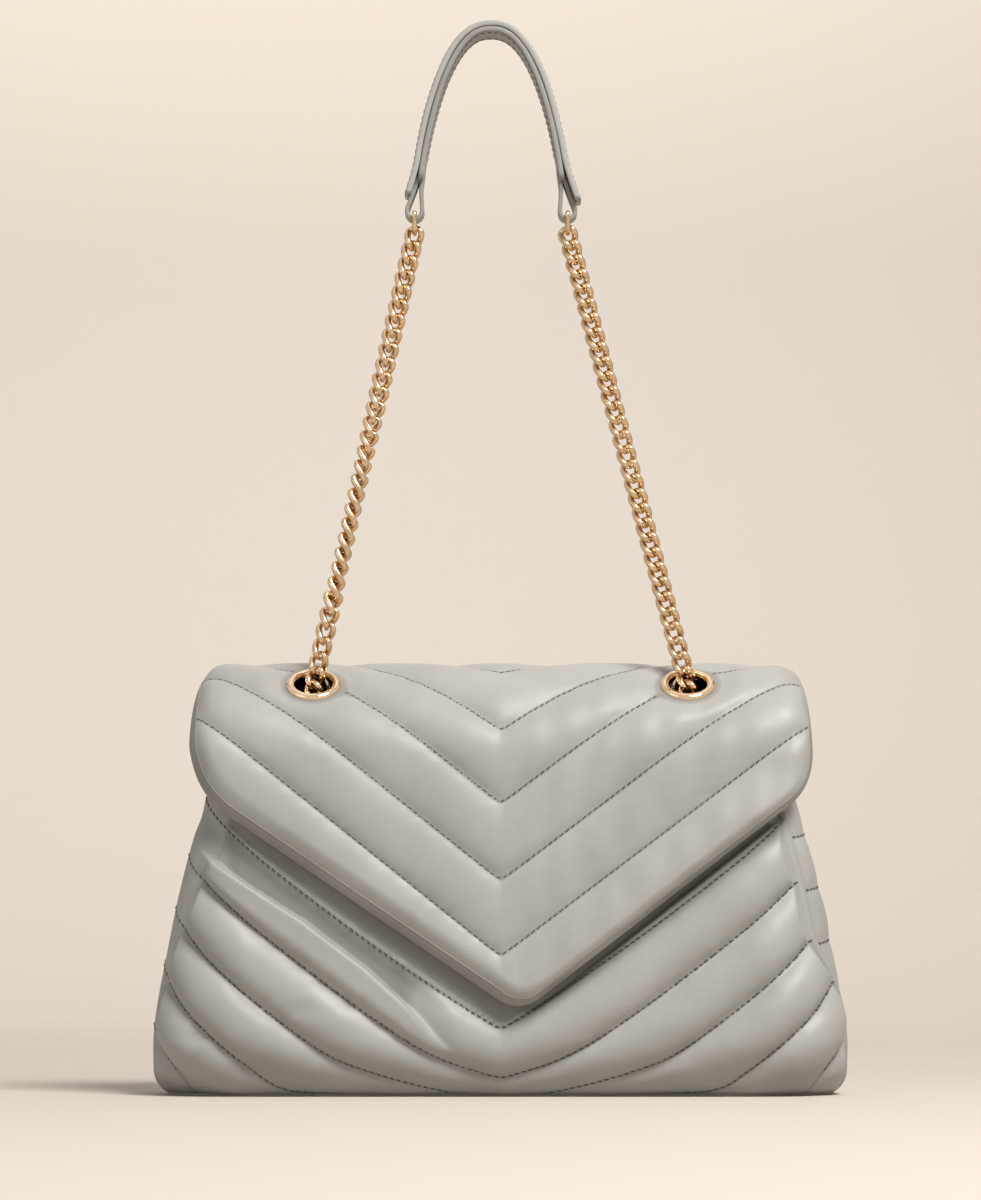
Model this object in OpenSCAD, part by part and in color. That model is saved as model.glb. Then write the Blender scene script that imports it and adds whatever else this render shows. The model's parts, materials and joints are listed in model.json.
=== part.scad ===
// Quilted flap bag with a curb chain strap, at its real size in millimetres.
// X runs across the bag, Y from the front to the back, Z up from the surface it stands on.

/* [Body] */
// Widest span of the bag across its front
body_w = 330; // [290:1:370]
// Span of the panels along their top edge
mouth_w = 268; // [250:1:286]
// Height at which the bag is widest
wide_h = 24; // [18:1:34]
// Depth that the bag would have at its base if the leaning panels ran straight down
base_depth = 110; // [104:1:118]
// Depth of the bag across its mouth
mouth_depth = 84; // [80:1:90]
// Radius of the lower corners of the panels
corner_r = 20; // [14:1:24]
// Height below which the front and back panels turn under the bag
under_h = 42; // [36:1:46]
// How far the front and back panels turn in under the bag
under_in = 22; // [20:1:24]
// How far the soft sides are folded inwards half way up
fold_in = 9; // [4:0.5:10]
// Thickness of a quilted panel with its filling
panel_t = 6; // [5:0.5:8]
// Thickness of the side and base leather
gusset_t = 3; // [2:0.5:4]
// Thickness of the board under the lining of the base
board_t = 2; // [1:0.5:3]
// Thickness of the lining cloth
lining_t = 0.8; // [0.6:0.1:1.2]

/* [Quilting] */
// Distance from one chevron seam to the next, measured upright
seam_pitch = 34; // [28:1:44]
// Height of the chevron points on the front panel
panel_seam_h = 32; // [24:1:40]
// Height of the lowest chevron point on the flap
flap_seam_h = 69; // [60:1:78]
// Slope of the chevron seams
seam_slope = 37.5; // [30:0.5:40]
// Width of a seam channel
seam_w = 1.4; // [1:0.1:2]
// Depth of a seam channel
seam_d = 0.9; // [0.6:0.1:1.2]

/* [Flap] */
// Width of the flap
flap_w = 295; // [286:1:310]
// Height of the top of the flap above the base
flap_top = 204; // [200:1:212]
// Outer radius of the bend over the mouth
flap_r = 50; // [48:0.5:53]
// Height of the mouth above the middle of that bend
mouth_rise = 7; // [2:0.5:7.5]
// Thickness of the quilted flap with its filling
flap_t = 6; // [5:0.5:7]
// Thickness of the leather lining of the flap
flap_lining_t = 1.2; // [0.8:0.1:1.6]
// Width of the bound edge round the flap
binding_w = 1.2; // [0.8:0.1:2]
// Height of the point of the flap
tip_h = 43; // [36:1:52]
// Radius of the point of the flap
tip_r = 12; // [6:1:18]
// Height of the corners where the sides of the flap turn in to the point
flap_corner_h = 146; // [138:1:152]
// Radius of the upper corners of the flap, seen from the front
flap_corner_r = 20; // [12:1:26]
// Radius of the corners where the sides of the flap turn in
flap_turn_r = 24; // [10:1:30]
// Angle round the bend at which the flap is sewn to the back panel
flap_seam_angle = 170; // [168:1:174]

/* [Grommets] */
// Distance between the two grommets
grommet_span = 177; // [160:1:200]
// Angle round the bend at which the grommets sit, from the front
grommet_angle = 54; // [50:1:60]
// Outer diameter of a grommet rim
grommet_d = 26; // [24:0.5:28]
// Bore of a grommet
grommet_bore = 17.4; // [16.8:0.1:18]
// Wall of a grommet barrel
barrel_wall = 1; // [0.8:0.1:1.2]
// Thickness of a grommet washer
washer_t = 1; // [0.8:0.1:1.4]

/* [Chain] */
// Width of a curb link
link_w = 9.4; // [9:0.1:9.8]
// Length of a curb link
link_l = 12.2; // [12:0.1:12.6]
// Diameter of the chain wire
wire_d = 2.2; // [2:0.1:2.3]
// How far the wire of a link swings to each side of its middle plane
link_swing = 2.4; // [2.2:0.1:2.6]
// Distance from one link to the next
link_pitch = 7.2; // [7.1:0.05:7.4]

/* [Shoulder pad] */
// Height of the rings that join the pad to the chain, at their upper bar
ring_h = 418; // [400:1:440]
// Height of the arch of the pad above the rings, to its middle line
pad_rise = 88.5; // [80:0.5:100]
// Span of the arch of the pad between the middles of its two ends
pad_span = 73; // [60:1:80]
// Width of the pad leather
pad_w = 20; // [18:0.5:24]
// Width of the pad loops that hold the rings
loop_w = 12; // [10:0.5:14]
// Thickness of each of the two pad layers
pad_layer_t = 3.3; // [2.5:0.1:3.8]
// Wall of the leather loops round the rings
loop_wall = 2.4; // [2:0.1:3]
// Bore of the leather loops round the rings
loop_bore = 5; // [4:0.1:6]
// Height of a ring, from the middle of its upper bar to the middle of its lower bow
ring_drop = 9; // [8.5:0.1:11]
// Sideways lean of the hanging pad
pad_lean = -4.5; // [-10:0.5:10]

/* [Fittings] */
// Diameter of the magnetic snap
snap_d = 18; // [14:0.5:20]
// Height of the magnetic snap above the base
snap_h = 76; // [72:1:84]
// Thickness of the snap socket
socket_t = 3; // [2.6:0.1:3.4]
// Length of the zip opening in the back lining
zip_l = 176; // [140:1:190]
// Height of the zip above the base
zip_h = 124; // [112:1:128]
// Width of the leather facing round the mouth
facing_w = 20; // [16:1:22]
// Thickness of the leather facing
facing_t = 1.2; // [0.8:0.1:1.6]

/* [Hidden] */

leather = [0.76, 0.75, 0.72];
leather_dark = [0.62, 0.60, 0.57];
cloth = [0.42, 0.38, 0.35];
board = [0.55, 0.50, 0.42];
gold = [0.85, 0.68, 0.47];
steel = [0.70, 0.70, 0.72];
$fn = 48;

// How far a cut runs past what it cuts
over = 1;
// Clearance between pieces that move against each other
gap = 0.4;
// Clearance of hanging metal from what carries it
clear = 0.2;
// Clearance of the last link of each run from the bow of its ring
hook_clear = 0.5;
// Running clearance round barrels, stems and magnets
fit = 0.1;
bend_h = flap_top - flap_r;
// Height of the front and back panels
panel_h = bend_h + mouth_rise;
slope = atan((base_depth - mouth_depth) / 2 / panel_h);
// How far a leaning panel is lifted, so that no part of it dips below the surface
lift = panel_t * sin(slope);
// Facets of the curve by which a panel turns under
under_steps = 7;

flap_full_t = flap_t + flap_lining_t;
flap_in_r = flap_r - flap_full_t;
// Place of the middle of the bend, so that the flap clears both panels
bend_y = (flap_in_r - gap) / cos(slope) + (bend_h - lift) * tan(slope) - base_depth / 2;
front_reach = base_depth / 2 - (tip_h - lift) * tan(slope) + (flap_full_t + gap) / cos(slope);
back_reach = max([for (p = under_curve(0)) p[0]]);
// The bag is centred on the middle of its depth
depth_shift = (front_reach - back_reach) / 2;

module placed() translate([0, depth_shift, 0]) children();

// Half the width of the bag at a height: a shallow curve from the widest place to the mouth
narrowing_share = 1.42;
function half_w(z) = body_w / 2 - (body_w - mouth_w) / 2
  * pow(max(z - wide_h, 0) / (panel_h - wide_h), narrowing_share);

// Outline of the bag seen from the front, drawn in by a distance all round but at the top
side_steps = 8;
corner_steps = 6;
function side_of_bag(inset) = concat(
  [for (i = [0:side_steps])
    let (z = panel_h + (wide_h - panel_h) * i / side_steps) [half_w(z) - inset, z]],
  [for (i = [1:corner_steps])
    let (a = 90 * i / corner_steps)
      [body_w / 2 - corner_r + (corner_r - inset) * cos(a),
       corner_r - (corner_r - inset) * sin(a)]]);
function flipped(points) = [for (i = [len(points) - 1:-1:0]) [-points[i][0], points[i][1]]];
module bag_outline(inset = 0) polygon(concat(side_of_bag(inset), flipped(side_of_bag(inset))));

// Prism from the front outline, long enough to pass through the whole bag
module front_prism() rotate([90, 0, 0])
  linear_extrude(2 * body_w, center = true) children();

// Prism from an outline in Y and Z, centred across the bag
module side_prism(width) rotate([90, 0, 90]) linear_extrude(width, center = true) children();

// Stands a piece drawn flat against the leaning front panel: X across, Z up the panel, Y inwards
module on_front() translate([0, -base_depth / 2, lift]) rotate([-slope, 0, 0]) children();
module on_back() mirror([0, 1, 0]) on_front() children();

// Half the depth of the bag along the straight run of its panels, at a height
function wall_y(z, inset) = base_depth / 2 - inset / cos(slope) - (z - lift) * tan(slope);
// Place in Y and Z of a depth below the face of the front panel and a way up it
function on_panel(depth, up) = [depth * cos(slope) + up * sin(slope) - base_depth / 2,
                                lift + up * cos(slope) - depth * sin(slope)];

// Section of a panel as half the depth of the bag and a height, drawn in square to the outer
// face: a quarter of an ellipse that turns under the bag, then the straight run
function unit(v) = v / norm(v);
function under_face(a) = let (z = under_h * (1 - cos(a)))
  [wall_y(z, 0) - under_in * (1 - sin(a)), z];
function under_along(a) = unit([under_in * cos(a) - under_h * sin(a) * tan(slope), under_h * sin(a)]);
function under_curve(inset) = [for (i = [0:under_steps]) let (a = 90 * i / under_steps)
  under_face(a) + inset * [-under_along(a)[1], under_along(a)[0]]];
function panel_curve(inset) = let (end = on_panel(inset, panel_h))
  concat(under_curve(inset), [[-end[0], end[1]]]);
// Layer of the front panel between two depths below its face
module panel_layer(outer, inner, inset = 0) intersection() {
  side_prism(body_w + 2 * over)
    polygon(concat(flipped(panel_curve(outer)), [for (p = panel_curve(inner)) [-p[0], p[1]]]));
  front_prism() bag_outline(inset);
}

// Room between the panels
function room_side(inset) = concat([[under_face(0)[0], 0]], under_curve(inset),
  [[wall_y(panel_h, inset), panel_h]]);
module between_panels(inset) side_prism(body_w + 2 * over)
  polygon(concat(room_side(inset), flipped(room_side(inset))));

// Strip of a given thickness round the sides and base of the bag
module strip(inset, thick) front_prism() difference() {
  bag_outline(inset);
  bag_outline(inset + thick);
}
base_half = body_w / 2 - corner_r;
module base_space() cube([2 * base_half, body_w, 2 * wide_h], center = true);

// Sheet round one side of the bag, with a soft fold down its middle that fades out at the mouth
fold_low = 40;
fold_half = 18;
fold_steps = 3;
function fold_at(z) = fold_in * sin(180 * max(z - fold_low, 0) / (panel_h - fold_low));
function fold_share(y) = abs(y) < fold_half ? (1 + cos(180 * y / fold_half)) / 2 : 0;
fold_ys = concat([-base_depth / 2], [for (i = [-fold_steps:fold_steps]) fold_half * i / fold_steps],
                 [base_depth / 2]);
function side_points(inset) = [for (p = side_of_bag(inset), y = fold_ys)
  [p[0] - fold_at(p[1]) * fold_share(y), y, p[1]]];
module side_sheet(side, inset, thick) {
  rows = len(side_of_bag(inset));
  columns = len(fold_ys);
  // Layer 0 is the outer face and layer 1 the inner one
  function at(layer, r, c) = (layer * rows + r) * columns + c;
  function quad(a, b, c, d) = [[a, b, c], [a, c, d]];
  function wall(r, c, next_r, next_c) = quad(at(0, r, c), at(0, next_r, next_c),
                                             at(1, next_r, next_c), at(1, r, c));
  faces = concat(
    [for (r = [0:rows - 2], c = [0:columns - 2])
      each quad(at(0, r, c), at(0, r, c + 1), at(0, r + 1, c + 1), at(0, r + 1, c))],
    [for (r = [0:rows - 2], c = [0:columns - 2])
      each quad(at(1, r, c), at(1, r + 1, c), at(1, r + 1, c + 1), at(1, r, c + 1))],
    [for (c = [0:columns - 2]) each concat(wall(0, c + 1, 0, c), wall(rows - 1, c, rows - 1, c + 1))],
    [for (r = [0:rows - 2]) each concat(wall(r, 0, r + 1, 0), wall(r + 1, columns - 1, r, columns - 1))]);
  mirror([side < 0 ? 1 : 0, 0, 0])
    polyhedron(concat(side_points(inset), side_points(inset + thick)), faces);
}

// Chevron seams as a pattern in X and Z, each with its point down on the middle line
module chevrons(lowest, count) for (i = [0:count - 1], side = [0, 1])
  translate([0, lowest + i * seam_pitch]) mirror([side, 0])
    rotate(seam_slope) translate([0, -seam_w / 2]) square([body_w, seam_w]);
seams_below = 3;
panel_seams = ceil(panel_h / seam_pitch) + seams_below;

module quilted_panel() difference() {
  panel_layer(0, panel_t);
  intersection() {
    panel_layer(-over, seam_d, -over);
    front_prism() chevrons(panel_seam_h - seams_below * seam_pitch, panel_seams);
  }
}

snap_up = (snap_h - lift) / cos(slope);
plate_t = 0.8;
stem_d = 4;
module snap_axis() translate([0, 0, snap_up]) rotate([-90, 0, 0]) children();

module front_panel() color(leather) placed() difference() {
  quilted_panel();
  on_front() snap_axis() {
    translate([0, 0, -over]) cylinder(h = over + socket_t, d = snap_d + fit);
    translate([0, 0, panel_t - plate_t]) cylinder(h = plate_t + over, d = snap_d + fit);
    cylinder(h = panel_t, d = stem_d + fit);
  }
}

pocket_margin = 10;
pocket_w = zip_l + 2 * pocket_margin;
zip_slot = 9;
zip_up = (zip_h - lift) / cos(slope);
pocket_top = zip_up + zip_slot;
// The pocket ends this far above the place where the panel turns under
pocket_rise = 7;
pocket_low = under_h + pocket_rise;
pocket_t = 1.2;

module pocket_shape(thick, grow = 0) translate([-pocket_w / 2 - grow, 0, pocket_low - grow])
  cube([pocket_w + 2 * grow, thick, pocket_top - pocket_low + 2 * grow]);

module back_panel() color(leather) placed() difference() {
  mirror([0, 1, 0]) quilted_panel();
  on_back() translate([0, panel_t - pocket_t, 0]) pocket_shape(pocket_t + over, fit);
}

module base_panel() color(leather) placed() intersection() {
  strip(0, gusset_t);
  between_panels(panel_t);
  base_space();
}

module gusset(side) color(leather) placed() intersection() {
  side_sheet(side, 0, gusset_t);
  between_panels(panel_t);
}
module gusset_left() gusset(-1);
module gusset_right() gusset(1);

module base_board() color(board) placed() intersection() {
  strip(gusset_t, board_t);
  between_panels(panel_t);
  base_space();
}

// Depths of the linings from the outer face of a panel
lining_in = panel_t + lining_t;
side_lining_in = gusset_t + lining_t;

module panel_lining() panel_layer(panel_t, lining_in, side_lining_in + gap);
module lining_front() color(cloth) placed() panel_lining();

module zip_cut() translate([-zip_l / 2, 0, zip_up - zip_slot / 2])
  cube([zip_l, 2 * panel_t, zip_slot]);

module lining_back() color(cloth) placed() difference() {
  mirror([0, 1, 0]) panel_lining();
  on_back() zip_cut();
}

module lining_base() color(cloth) placed() intersection() {
  strip(gusset_t + board_t, lining_t);
  between_panels(panel_t);
  base_space();
}

module lining_side(side) color(cloth) placed() intersection() {
  side_sheet(side, gusset_t, lining_t);
  between_panels(panel_t);
}
module lining_left() lining_side(-1);
module lining_right() lining_side(1);

module facing() translate([0, lining_in + facing_t, 0]) rotate([90, 0, 0]) linear_extrude(facing_t)
  intersection() {
    bag_outline(side_lining_in + gap);
    translate([-body_w / 2, panel_h - facing_w]) square([body_w, facing_w]);
  }
module facing_front() color(leather_dark) placed() on_front() facing();
module facing_back() color(leather_dark) placed() on_back() facing();

module pocket_bag() color(cloth) placed() on_back() translate([0, panel_t - pocket_t, 0])
  pocket_shape(pocket_t);

// The zip lies in a slot of the back lining, inside a leather frame
frame_rim = 4;
frame_t = 1.2;
module zip_frame() color(leather_dark) placed() on_back() difference() {
  translate([-zip_l / 2 - frame_rim, lining_in, zip_up - zip_slot / 2 - frame_rim])
    cube([zip_l + 2 * frame_rim, frame_t, zip_slot + 2 * frame_rim]);
  zip_cut();
}
teeth_w = 4;
teeth_t = 1.6;
module zip_tape() color(cloth) placed() on_back()
  translate([-zip_l / 2, panel_t, zip_up - zip_slot / 2]) cube([zip_l, lining_t, zip_slot]);
tooth_pitch = 3;
tooth_share = 0.5;
tooth_count = floor((zip_l - 2 * frame_rim) / tooth_pitch);
module zip_teeth() color(gold) placed() on_back() for (i = [0:tooth_count - 1])
  translate([(i - tooth_count / 2) * tooth_pitch, lining_in, zip_up - teeth_w / 2])
    cube([tooth_pitch * tooth_share, teeth_t, teeth_w]);

slider_l = 9;
slider_w = 7;
slider_t = 1.6;
slider_clear = 0.3;
slider_x = zip_l / 2 - frame_rim - slider_l;
slider_y = lining_in + teeth_t + slider_clear;
pivot_d = 2;
eye_wall = 0.6;
eye_r = pivot_d / 2 + fit + eye_wall;
pivot_up = slider_t + eye_r + fit;
cheek_t = 1.2;
tab_w = 3;
module zip_slider() color(gold) placed() on_back() translate([slider_x, slider_y, zip_up]) {
  translate([-slider_l / 2, 0, -slider_w / 2]) cube([slider_l, slider_t, slider_w]);
  for (side = [-1, 1]) translate([0, 0, side * (tab_w / 2 + fit + cheek_t / 2)])
    translate([-eye_r, 0, -cheek_t / 2]) cube([2 * eye_r, pivot_up + eye_r, cheek_t]);
  translate([0, pivot_up, 0]) cylinder(h = tab_w + 2 * fit + cheek_t, d = pivot_d, center = true);
}
tab_l = 22;
tab_t = 1.4;
module zip_puller() color(gold) placed() on_back() translate([slider_x, slider_y + pivot_up, zip_up])
  difference() {
    union() {
      translate([-tab_l, -tab_t / 2, -tab_w / 2]) cube([tab_l, tab_t, tab_w]);
      cylinder(h = tab_w, r = eye_r, center = true);
    }
    cylinder(h = tab_w + over, d = pivot_d + 2 * fit, center = true);
  }

// Magnetic snap: the socket is sunk flush in the front panel, the stud in the flap
socket_bore = 10;
socket_wall = 0.7;
magnet_t = 1.2;
magnet_in = socket_bore + 2 * socket_wall;
magnet_out = snap_d - 2 * socket_wall;
module snap_socket() color(gold) placed() on_front() snap_axis() difference() {
  union() {
    cylinder(h = socket_t, d = snap_d);
    cylinder(h = panel_t, d = stem_d);
  }
  translate([0, 0, -over]) cylinder(h = over + socket_t - plate_t, d = socket_bore);
  translate([0, 0, socket_t - magnet_t]) difference() {
    cylinder(h = magnet_t + over, d = magnet_out);
    cylinder(h = snap_d, d = magnet_in, center = true);
  }
}
module snap_magnet() color(steel) placed() on_front() snap_axis()
  translate([0, 0, socket_t - magnet_t]) difference() {
    cylinder(h = magnet_t, d = magnet_out - 2 * fit);
    cylinder(h = snap_d, d = magnet_in + 2 * fit, center = true);
  }
module snap_socket_plate() color(steel) placed() on_front() snap_axis()
  translate([0, 0, panel_t - plate_t]) difference() {
    cylinder(h = plate_t, d = snap_d);
    cylinder(h = snap_d, d = stem_d + fit, center = true);
  }

// Section of the flap in Y and Z between two depths below its outer face: the bend over
// the mouth, then a straight run that leans like the front panel
bend_steps = 28;
function on_bend(a, r) = [bend_y - r * cos(a), bend_h + r * sin(a)];
function run_end(r) = on_bend(slope, r) - [sin(slope), cos(slope)] * bend_h;
function bend_arc(r) = [for (i = [0:bend_steps])
  on_bend(flap_seam_angle + (slope - flap_seam_angle) * i / bend_steps, r)];
module flap_section(outer, inner) polygon(concat(
  bend_arc(flap_r - outer), [run_end(flap_r - outer), run_end(flap_r - inner)],
  [for (i = [bend_steps:-1:0]) bend_arc(flap_r - inner)[i]]));

// Outline of the flap from the front: round upper corners, straight sides and a rounded point
tip_rise = flap_corner_h - tip_h - tip_r;
tip_slope = atan(tip_rise / (flap_w / 2)) + asin(tip_r / norm([flap_w / 2, tip_rise]));
turn_half = (90 - tip_slope) / 2;
function flap_side(inset) = concat(
  [[flap_w / 2 - flap_corner_r, flap_top + over]],
  [for (i = [0:corner_steps]) let (a = 90 - 90 * i / corner_steps)
    [flap_w / 2 - flap_corner_r + (flap_corner_r - inset) * cos(a),
     flap_top - flap_corner_r + (flap_corner_r - inset) * sin(a)]],
  [for (i = [0:corner_steps]) let (a = -2 * turn_half * i / corner_steps)
    [flap_w / 2 - flap_turn_r + (flap_turn_r - inset) * cos(a),
     flap_corner_h + flap_turn_r * tan(turn_half) + (flap_turn_r - inset) * sin(a)]],
  [for (i = [0:corner_steps]) let (a = tip_slope - tip_slope * i / corner_steps)
    [(tip_r - inset) * sin(a), tip_h + tip_r - (tip_r - inset) * cos(a)]]);
module flap_outline(inset) polygon(concat(flap_side(inset), flipped(flap_side(inset))));
module flap_layer(outer, inner, inset) intersection() {
  side_prism(flap_w) flap_section(outer, inner);
  front_prism() flap_outline(inset);
}

// Frame at a grommet: the origin is in the middle of its rim seat, Z points out of the flap
seat_sag = flap_r - sqrt(pow(flap_r, 2) - pow(grommet_d / 2, 2));
seat_r = flap_r - seat_sag;
barrel_d = grommet_bore + 2 * barrel_wall;
washer_r = sqrt(pow(flap_in_r, 2) - pow(grommet_d / 2, 2)) - washer_t;
barrel_l = seat_r - washer_r;
lip_t = 0.8;
module at_grommet(side) translate([side * grommet_span / 2, bend_y, bend_h])
  rotate([90 - grommet_angle, 0, 0]) translate([0, 0, seat_r]) children();
module grommet_cuts() for (side = [-1, 1]) at_grommet(side) {
  translate([0, 0, -seat_r + washer_r]) cylinder(h = seat_r, d = barrel_d + 2 * fit);
  cylinder(h = flap_r, d = grommet_d + 2 * fit);
}

// The flap leans like the front panel, and the snap axis is square to it
stud_t = 1.6;
nipple_d = 5;
nipple_l = 1.3;
seams_on_flap = 5;
module flap_outer() color(leather) placed() difference() {
  flap_layer(0, flap_t, binding_w);
  intersection() {
    flap_layer(-over, seam_d, binding_w);
    front_prism() chevrons(flap_seam_h, seams_on_flap);
  }
  grommet_cuts();
  on_front() snap_axis() translate([0, 0, -gap - stud_t - plate_t])
    cylinder(h = stud_t + plate_t, d = snap_d + fit);
}
module flap_lining() color(leather_dark) placed() difference() {
  flap_layer(flap_t, flap_full_t, binding_w);
  grommet_cuts();
  on_front() snap_axis() translate([0, 0, -flap_full_t]) cylinder(h = flap_full_t, d = snap_d + fit);
}
module flap_binding() color(leather) placed() difference() {
  flap_layer(0, flap_full_t, 0);
  front_prism() flap_outline(binding_w);
}

module snap_stud() color(gold) placed() on_front() snap_axis() translate([0, 0, -gap]) {
  translate([0, 0, -stud_t]) cylinder(h = stud_t, d = snap_d);
  cylinder(h = nipple_l, d = nipple_d);
}
module snap_stud_plate() color(steel) placed() on_front() snap_axis()
  translate([0, 0, -gap - stud_t - plate_t]) cylinder(h = plate_t, d = snap_d);

// A grommet is turned: rounded rim, barrel through the flap, and the lip rolled under the washer
module grommet(side) color(gold) placed() at_grommet(side) rotate_extrude() {
  intersection() {
    translate([(grommet_bore + grommet_d) / 4, 0]) circle(d = (grommet_d - grommet_bore) / 2);
    square(grommet_d);
  }
  translate([grommet_bore / 2, -barrel_l - lip_t]) square([barrel_wall, barrel_l + lip_t]);
  translate([grommet_bore / 2, -barrel_l - lip_t]) square([2 * barrel_wall, lip_t]);
}
module grommet_left() grommet(-1);
module grommet_right() grommet(1);

module grommet_washer(side) color(gold) placed() at_grommet(side)
  translate([0, 0, -barrel_l]) difference() {
    cylinder(h = washer_t, d = grommet_d);
    cylinder(h = grommet_d, d = barrel_d + 2 * fit, center = true);
  }
module grommet_washer_left() grommet_washer(-1);
module grommet_washer_right() grommet_washer(1);

// A closed loop of wire along a path, as a tube of a few flat sides
module wire_loop(path, d, across, sides = 6) {
  n = len(path);
  tangents = [for (i = [0:n - 1]) unit(path[(i + 1) % n] - path[(i + n - 1) % n])];
  normals = [for (t = tangents) unit(cross(across, t))];
  points = [for (i = [0:n - 1], k = [0:sides - 1]) path[i]
    + d / 2 * (cos(360 * k / sides) * normals[i]
               + sin(360 * k / sides) * cross(tangents[i], normals[i]))];
  faces = [for (i = [0:n - 1], k = [0:sides - 1])
    let (a = i * sides + k, b = i * sides + (k + 1) % sides,
         c = (i + 1) % n * sides + (k + 1) % sides, e = (i + 1) % n * sides + k)
      each [[a, b, c], [a, c, e]]];
  polyhedron(points, faces);
}

// One curb link, standing along Z with its flat face to the front
link_rings = 12;
module curb_link() wire_loop([for (i = [0:link_rings - 1]) let (t = 360 * i / link_rings)
  [(link_w - wire_d) / 2 * cos(t), -link_swing * sin(2 * t), (link_l - wire_d) / 2 * sin(t)]],
  wire_d, [0, 1, 0]);

// The strap rises from the middle of each grommet barrel, straight towards the pad
barrel_mid = seat_r - barrel_l / 2;
chain_y = on_bend(grommet_angle, barrel_mid)[0];
chain_z = on_bend(grommet_angle, barrel_mid)[1];
function start_of(side) = [side * grommet_span / 2, chain_z + link_pitch / 2];
function ring_x(side) = pad_lean + side * pad_span / 2;
function end_of(side) = [ring_x(side), ring_h - ring_drop];
function run_of(side) = norm(end_of(side) - start_of(side));
// The lower bow of a ring lies this far above the middle of the last link
hook = link_l / 2 - 3 / 2 * wire_d - hook_clear;
side_links = round((run_of(1) - hook) / link_pitch + 1 / 2);
function pitch_of(side) = (run_of(side) - hook) / (side_links - 1 / 2);
function run_angle(side) = atan((end_of(side)[0] - start_of(side)[0])
                                / (end_of(side)[1] - start_of(side)[1]));

// Places a link of one run by its number, counted upwards from the grommet
module run_link(side, number) translate([start_of(side)[0], chain_y, start_of(side)[1]])
  rotate([0, run_angle(side), 0]) translate([0, 0, (number - 1 / 2) * pitch_of(side)]) curb_link();
module links(side, first, last) color(gold) placed() for (i = [first:last]) run_link(side, i);

// Two links of each run stand fast in the grommet. The next folds the strap over, and one link
// half way up bends it
fixed_links = 2;
fold_link = fixed_links + 1;
bend_link = fold_link + ceil((side_links - fold_link) / 2);
module links_of_both(first, last) for (side = [-1, 1]) links(side, first, last);
module chain_in_grommets() links_of_both(1, fixed_links);
module chain_fold() links_of_both(fold_link, fold_link);
module chain_left_lower() links(-1, fold_link + 1, bend_link - 1);
module chain_right_lower() links(1, fold_link + 1, bend_link - 1);
module chain_bend() links_of_both(bend_link, bend_link);
module chain_left_upper() links(-1, bend_link + 1, side_links);
module chain_right_upper() links(1, bend_link + 1, side_links);

// The hidden part of the chain turns inwards below each grommet, a few links at a time, and
// runs straight across under the flap
turn_links = 3;
turn_step = 90 / turn_links;
function turn_drop(n) = n == 0 ? [0, 0]
  : turn_drop(n - 1) + link_pitch / 2 * (turned(n - 1) + turned(n));
function turned(n) = [sin(n * turn_step), cos(n * turn_step)];
under_lean = 15;
across_half = grommet_span / 2 - turn_drop(turn_links)[0];
across_count = round(2 * across_half / link_pitch);
module chain_under_flap() color(gold) placed() translate([0, chain_y, chain_z])
  rotate([under_lean, 0, 0]) {
    for (side = [-1, 1], n = [0:turn_links])
      translate([side * (grommet_span / 2 - turn_drop(n)[0]), 0, -turn_drop(n)[1]])
        rotate([0, side * n * turn_step, 0]) curb_link();
    for (i = [1:across_count - 1])
      translate([across_half * (2 * i / across_count - 1), 0, -turn_drop(turn_links)[1]])
        rotate([0, 90, 0]) curb_link();
  }

// Rings between the pad and the chain, edge on to the front: a straight bar and a round bow
bow_steps = 8;
ring_sides = 8;
ring_half = (loop_w + wire_d) / 2 + 2 * gap;
ring_path = concat([for (share = [1, 1 / 3, -1 / 3, -1]) [0, share * ring_half, 0]],
  [for (i = [1:bow_steps - 1]) let (a = 180 * i / bow_steps)
    [0, -ring_half * cos(a), -ring_drop * sin(a)]]);
module ring(side) color(gold) placed() translate([ring_x(side), chain_y, ring_h])
  wire_loop(ring_path, wire_d, [1, 0, 0], ring_sides);
module ring_left() ring(-1);
module ring_right() ring(1);

// The pad is an arch of two leather layers that meet on its middle line, a half ellipse
arch_steps = 36;
loop_up = loop_bore / 2 - wire_d / 2 - clear;
function arch(a, out) = [pad_span / 2 * cos(a), pad_rise * sin(a)]
  + out * unit([pad_rise * cos(a), pad_span / 2 * sin(a)]);
function arch_run(from, to, out) = [for (i = [0:arch_steps])
  arch(from + (to - from) * i / arch_steps, out)];
module band(width, from, to, inner, outer) rotate([90, 0, 0])
  linear_extrude(width, center = true)
    polygon(concat(arch_run(from, to, outer), arch_run(to, from, inner)));
module at_pad() translate([pad_lean, chain_y, ring_h + loop_up]) children();
cover_end = 7;
neck_end = 10;
layer_gap = 0.15;

// The inner layer narrows to a neck at each end and is turned round the ring as a loop
module pad_inner() color(leather_dark) placed() at_pad() difference() {
  union() {
    band(pad_w, neck_end, 180 - neck_end, -pad_layer_t, 0);
    for (from = [0, 180 - neck_end]) band(loop_w, from, from + neck_end, -pad_layer_t, 0);
    for (side = [-1, 1]) at_loop(side) cylinder(h = loop_w, d = loop_bore + 2 * loop_wall, center = true);
  }
  for (side = [-1, 1]) at_loop(side) cylinder(h = pad_w, d = loop_bore, center = true);
}
module at_loop(side) translate([side * pad_span / 2, 0, 0]) rotate([90, 0, 0]) children();
module pad_cover() color(leather) placed() at_pad()
  band(pad_w, cover_end, 180 - cover_end, layer_gap, pad_layer_t);

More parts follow.
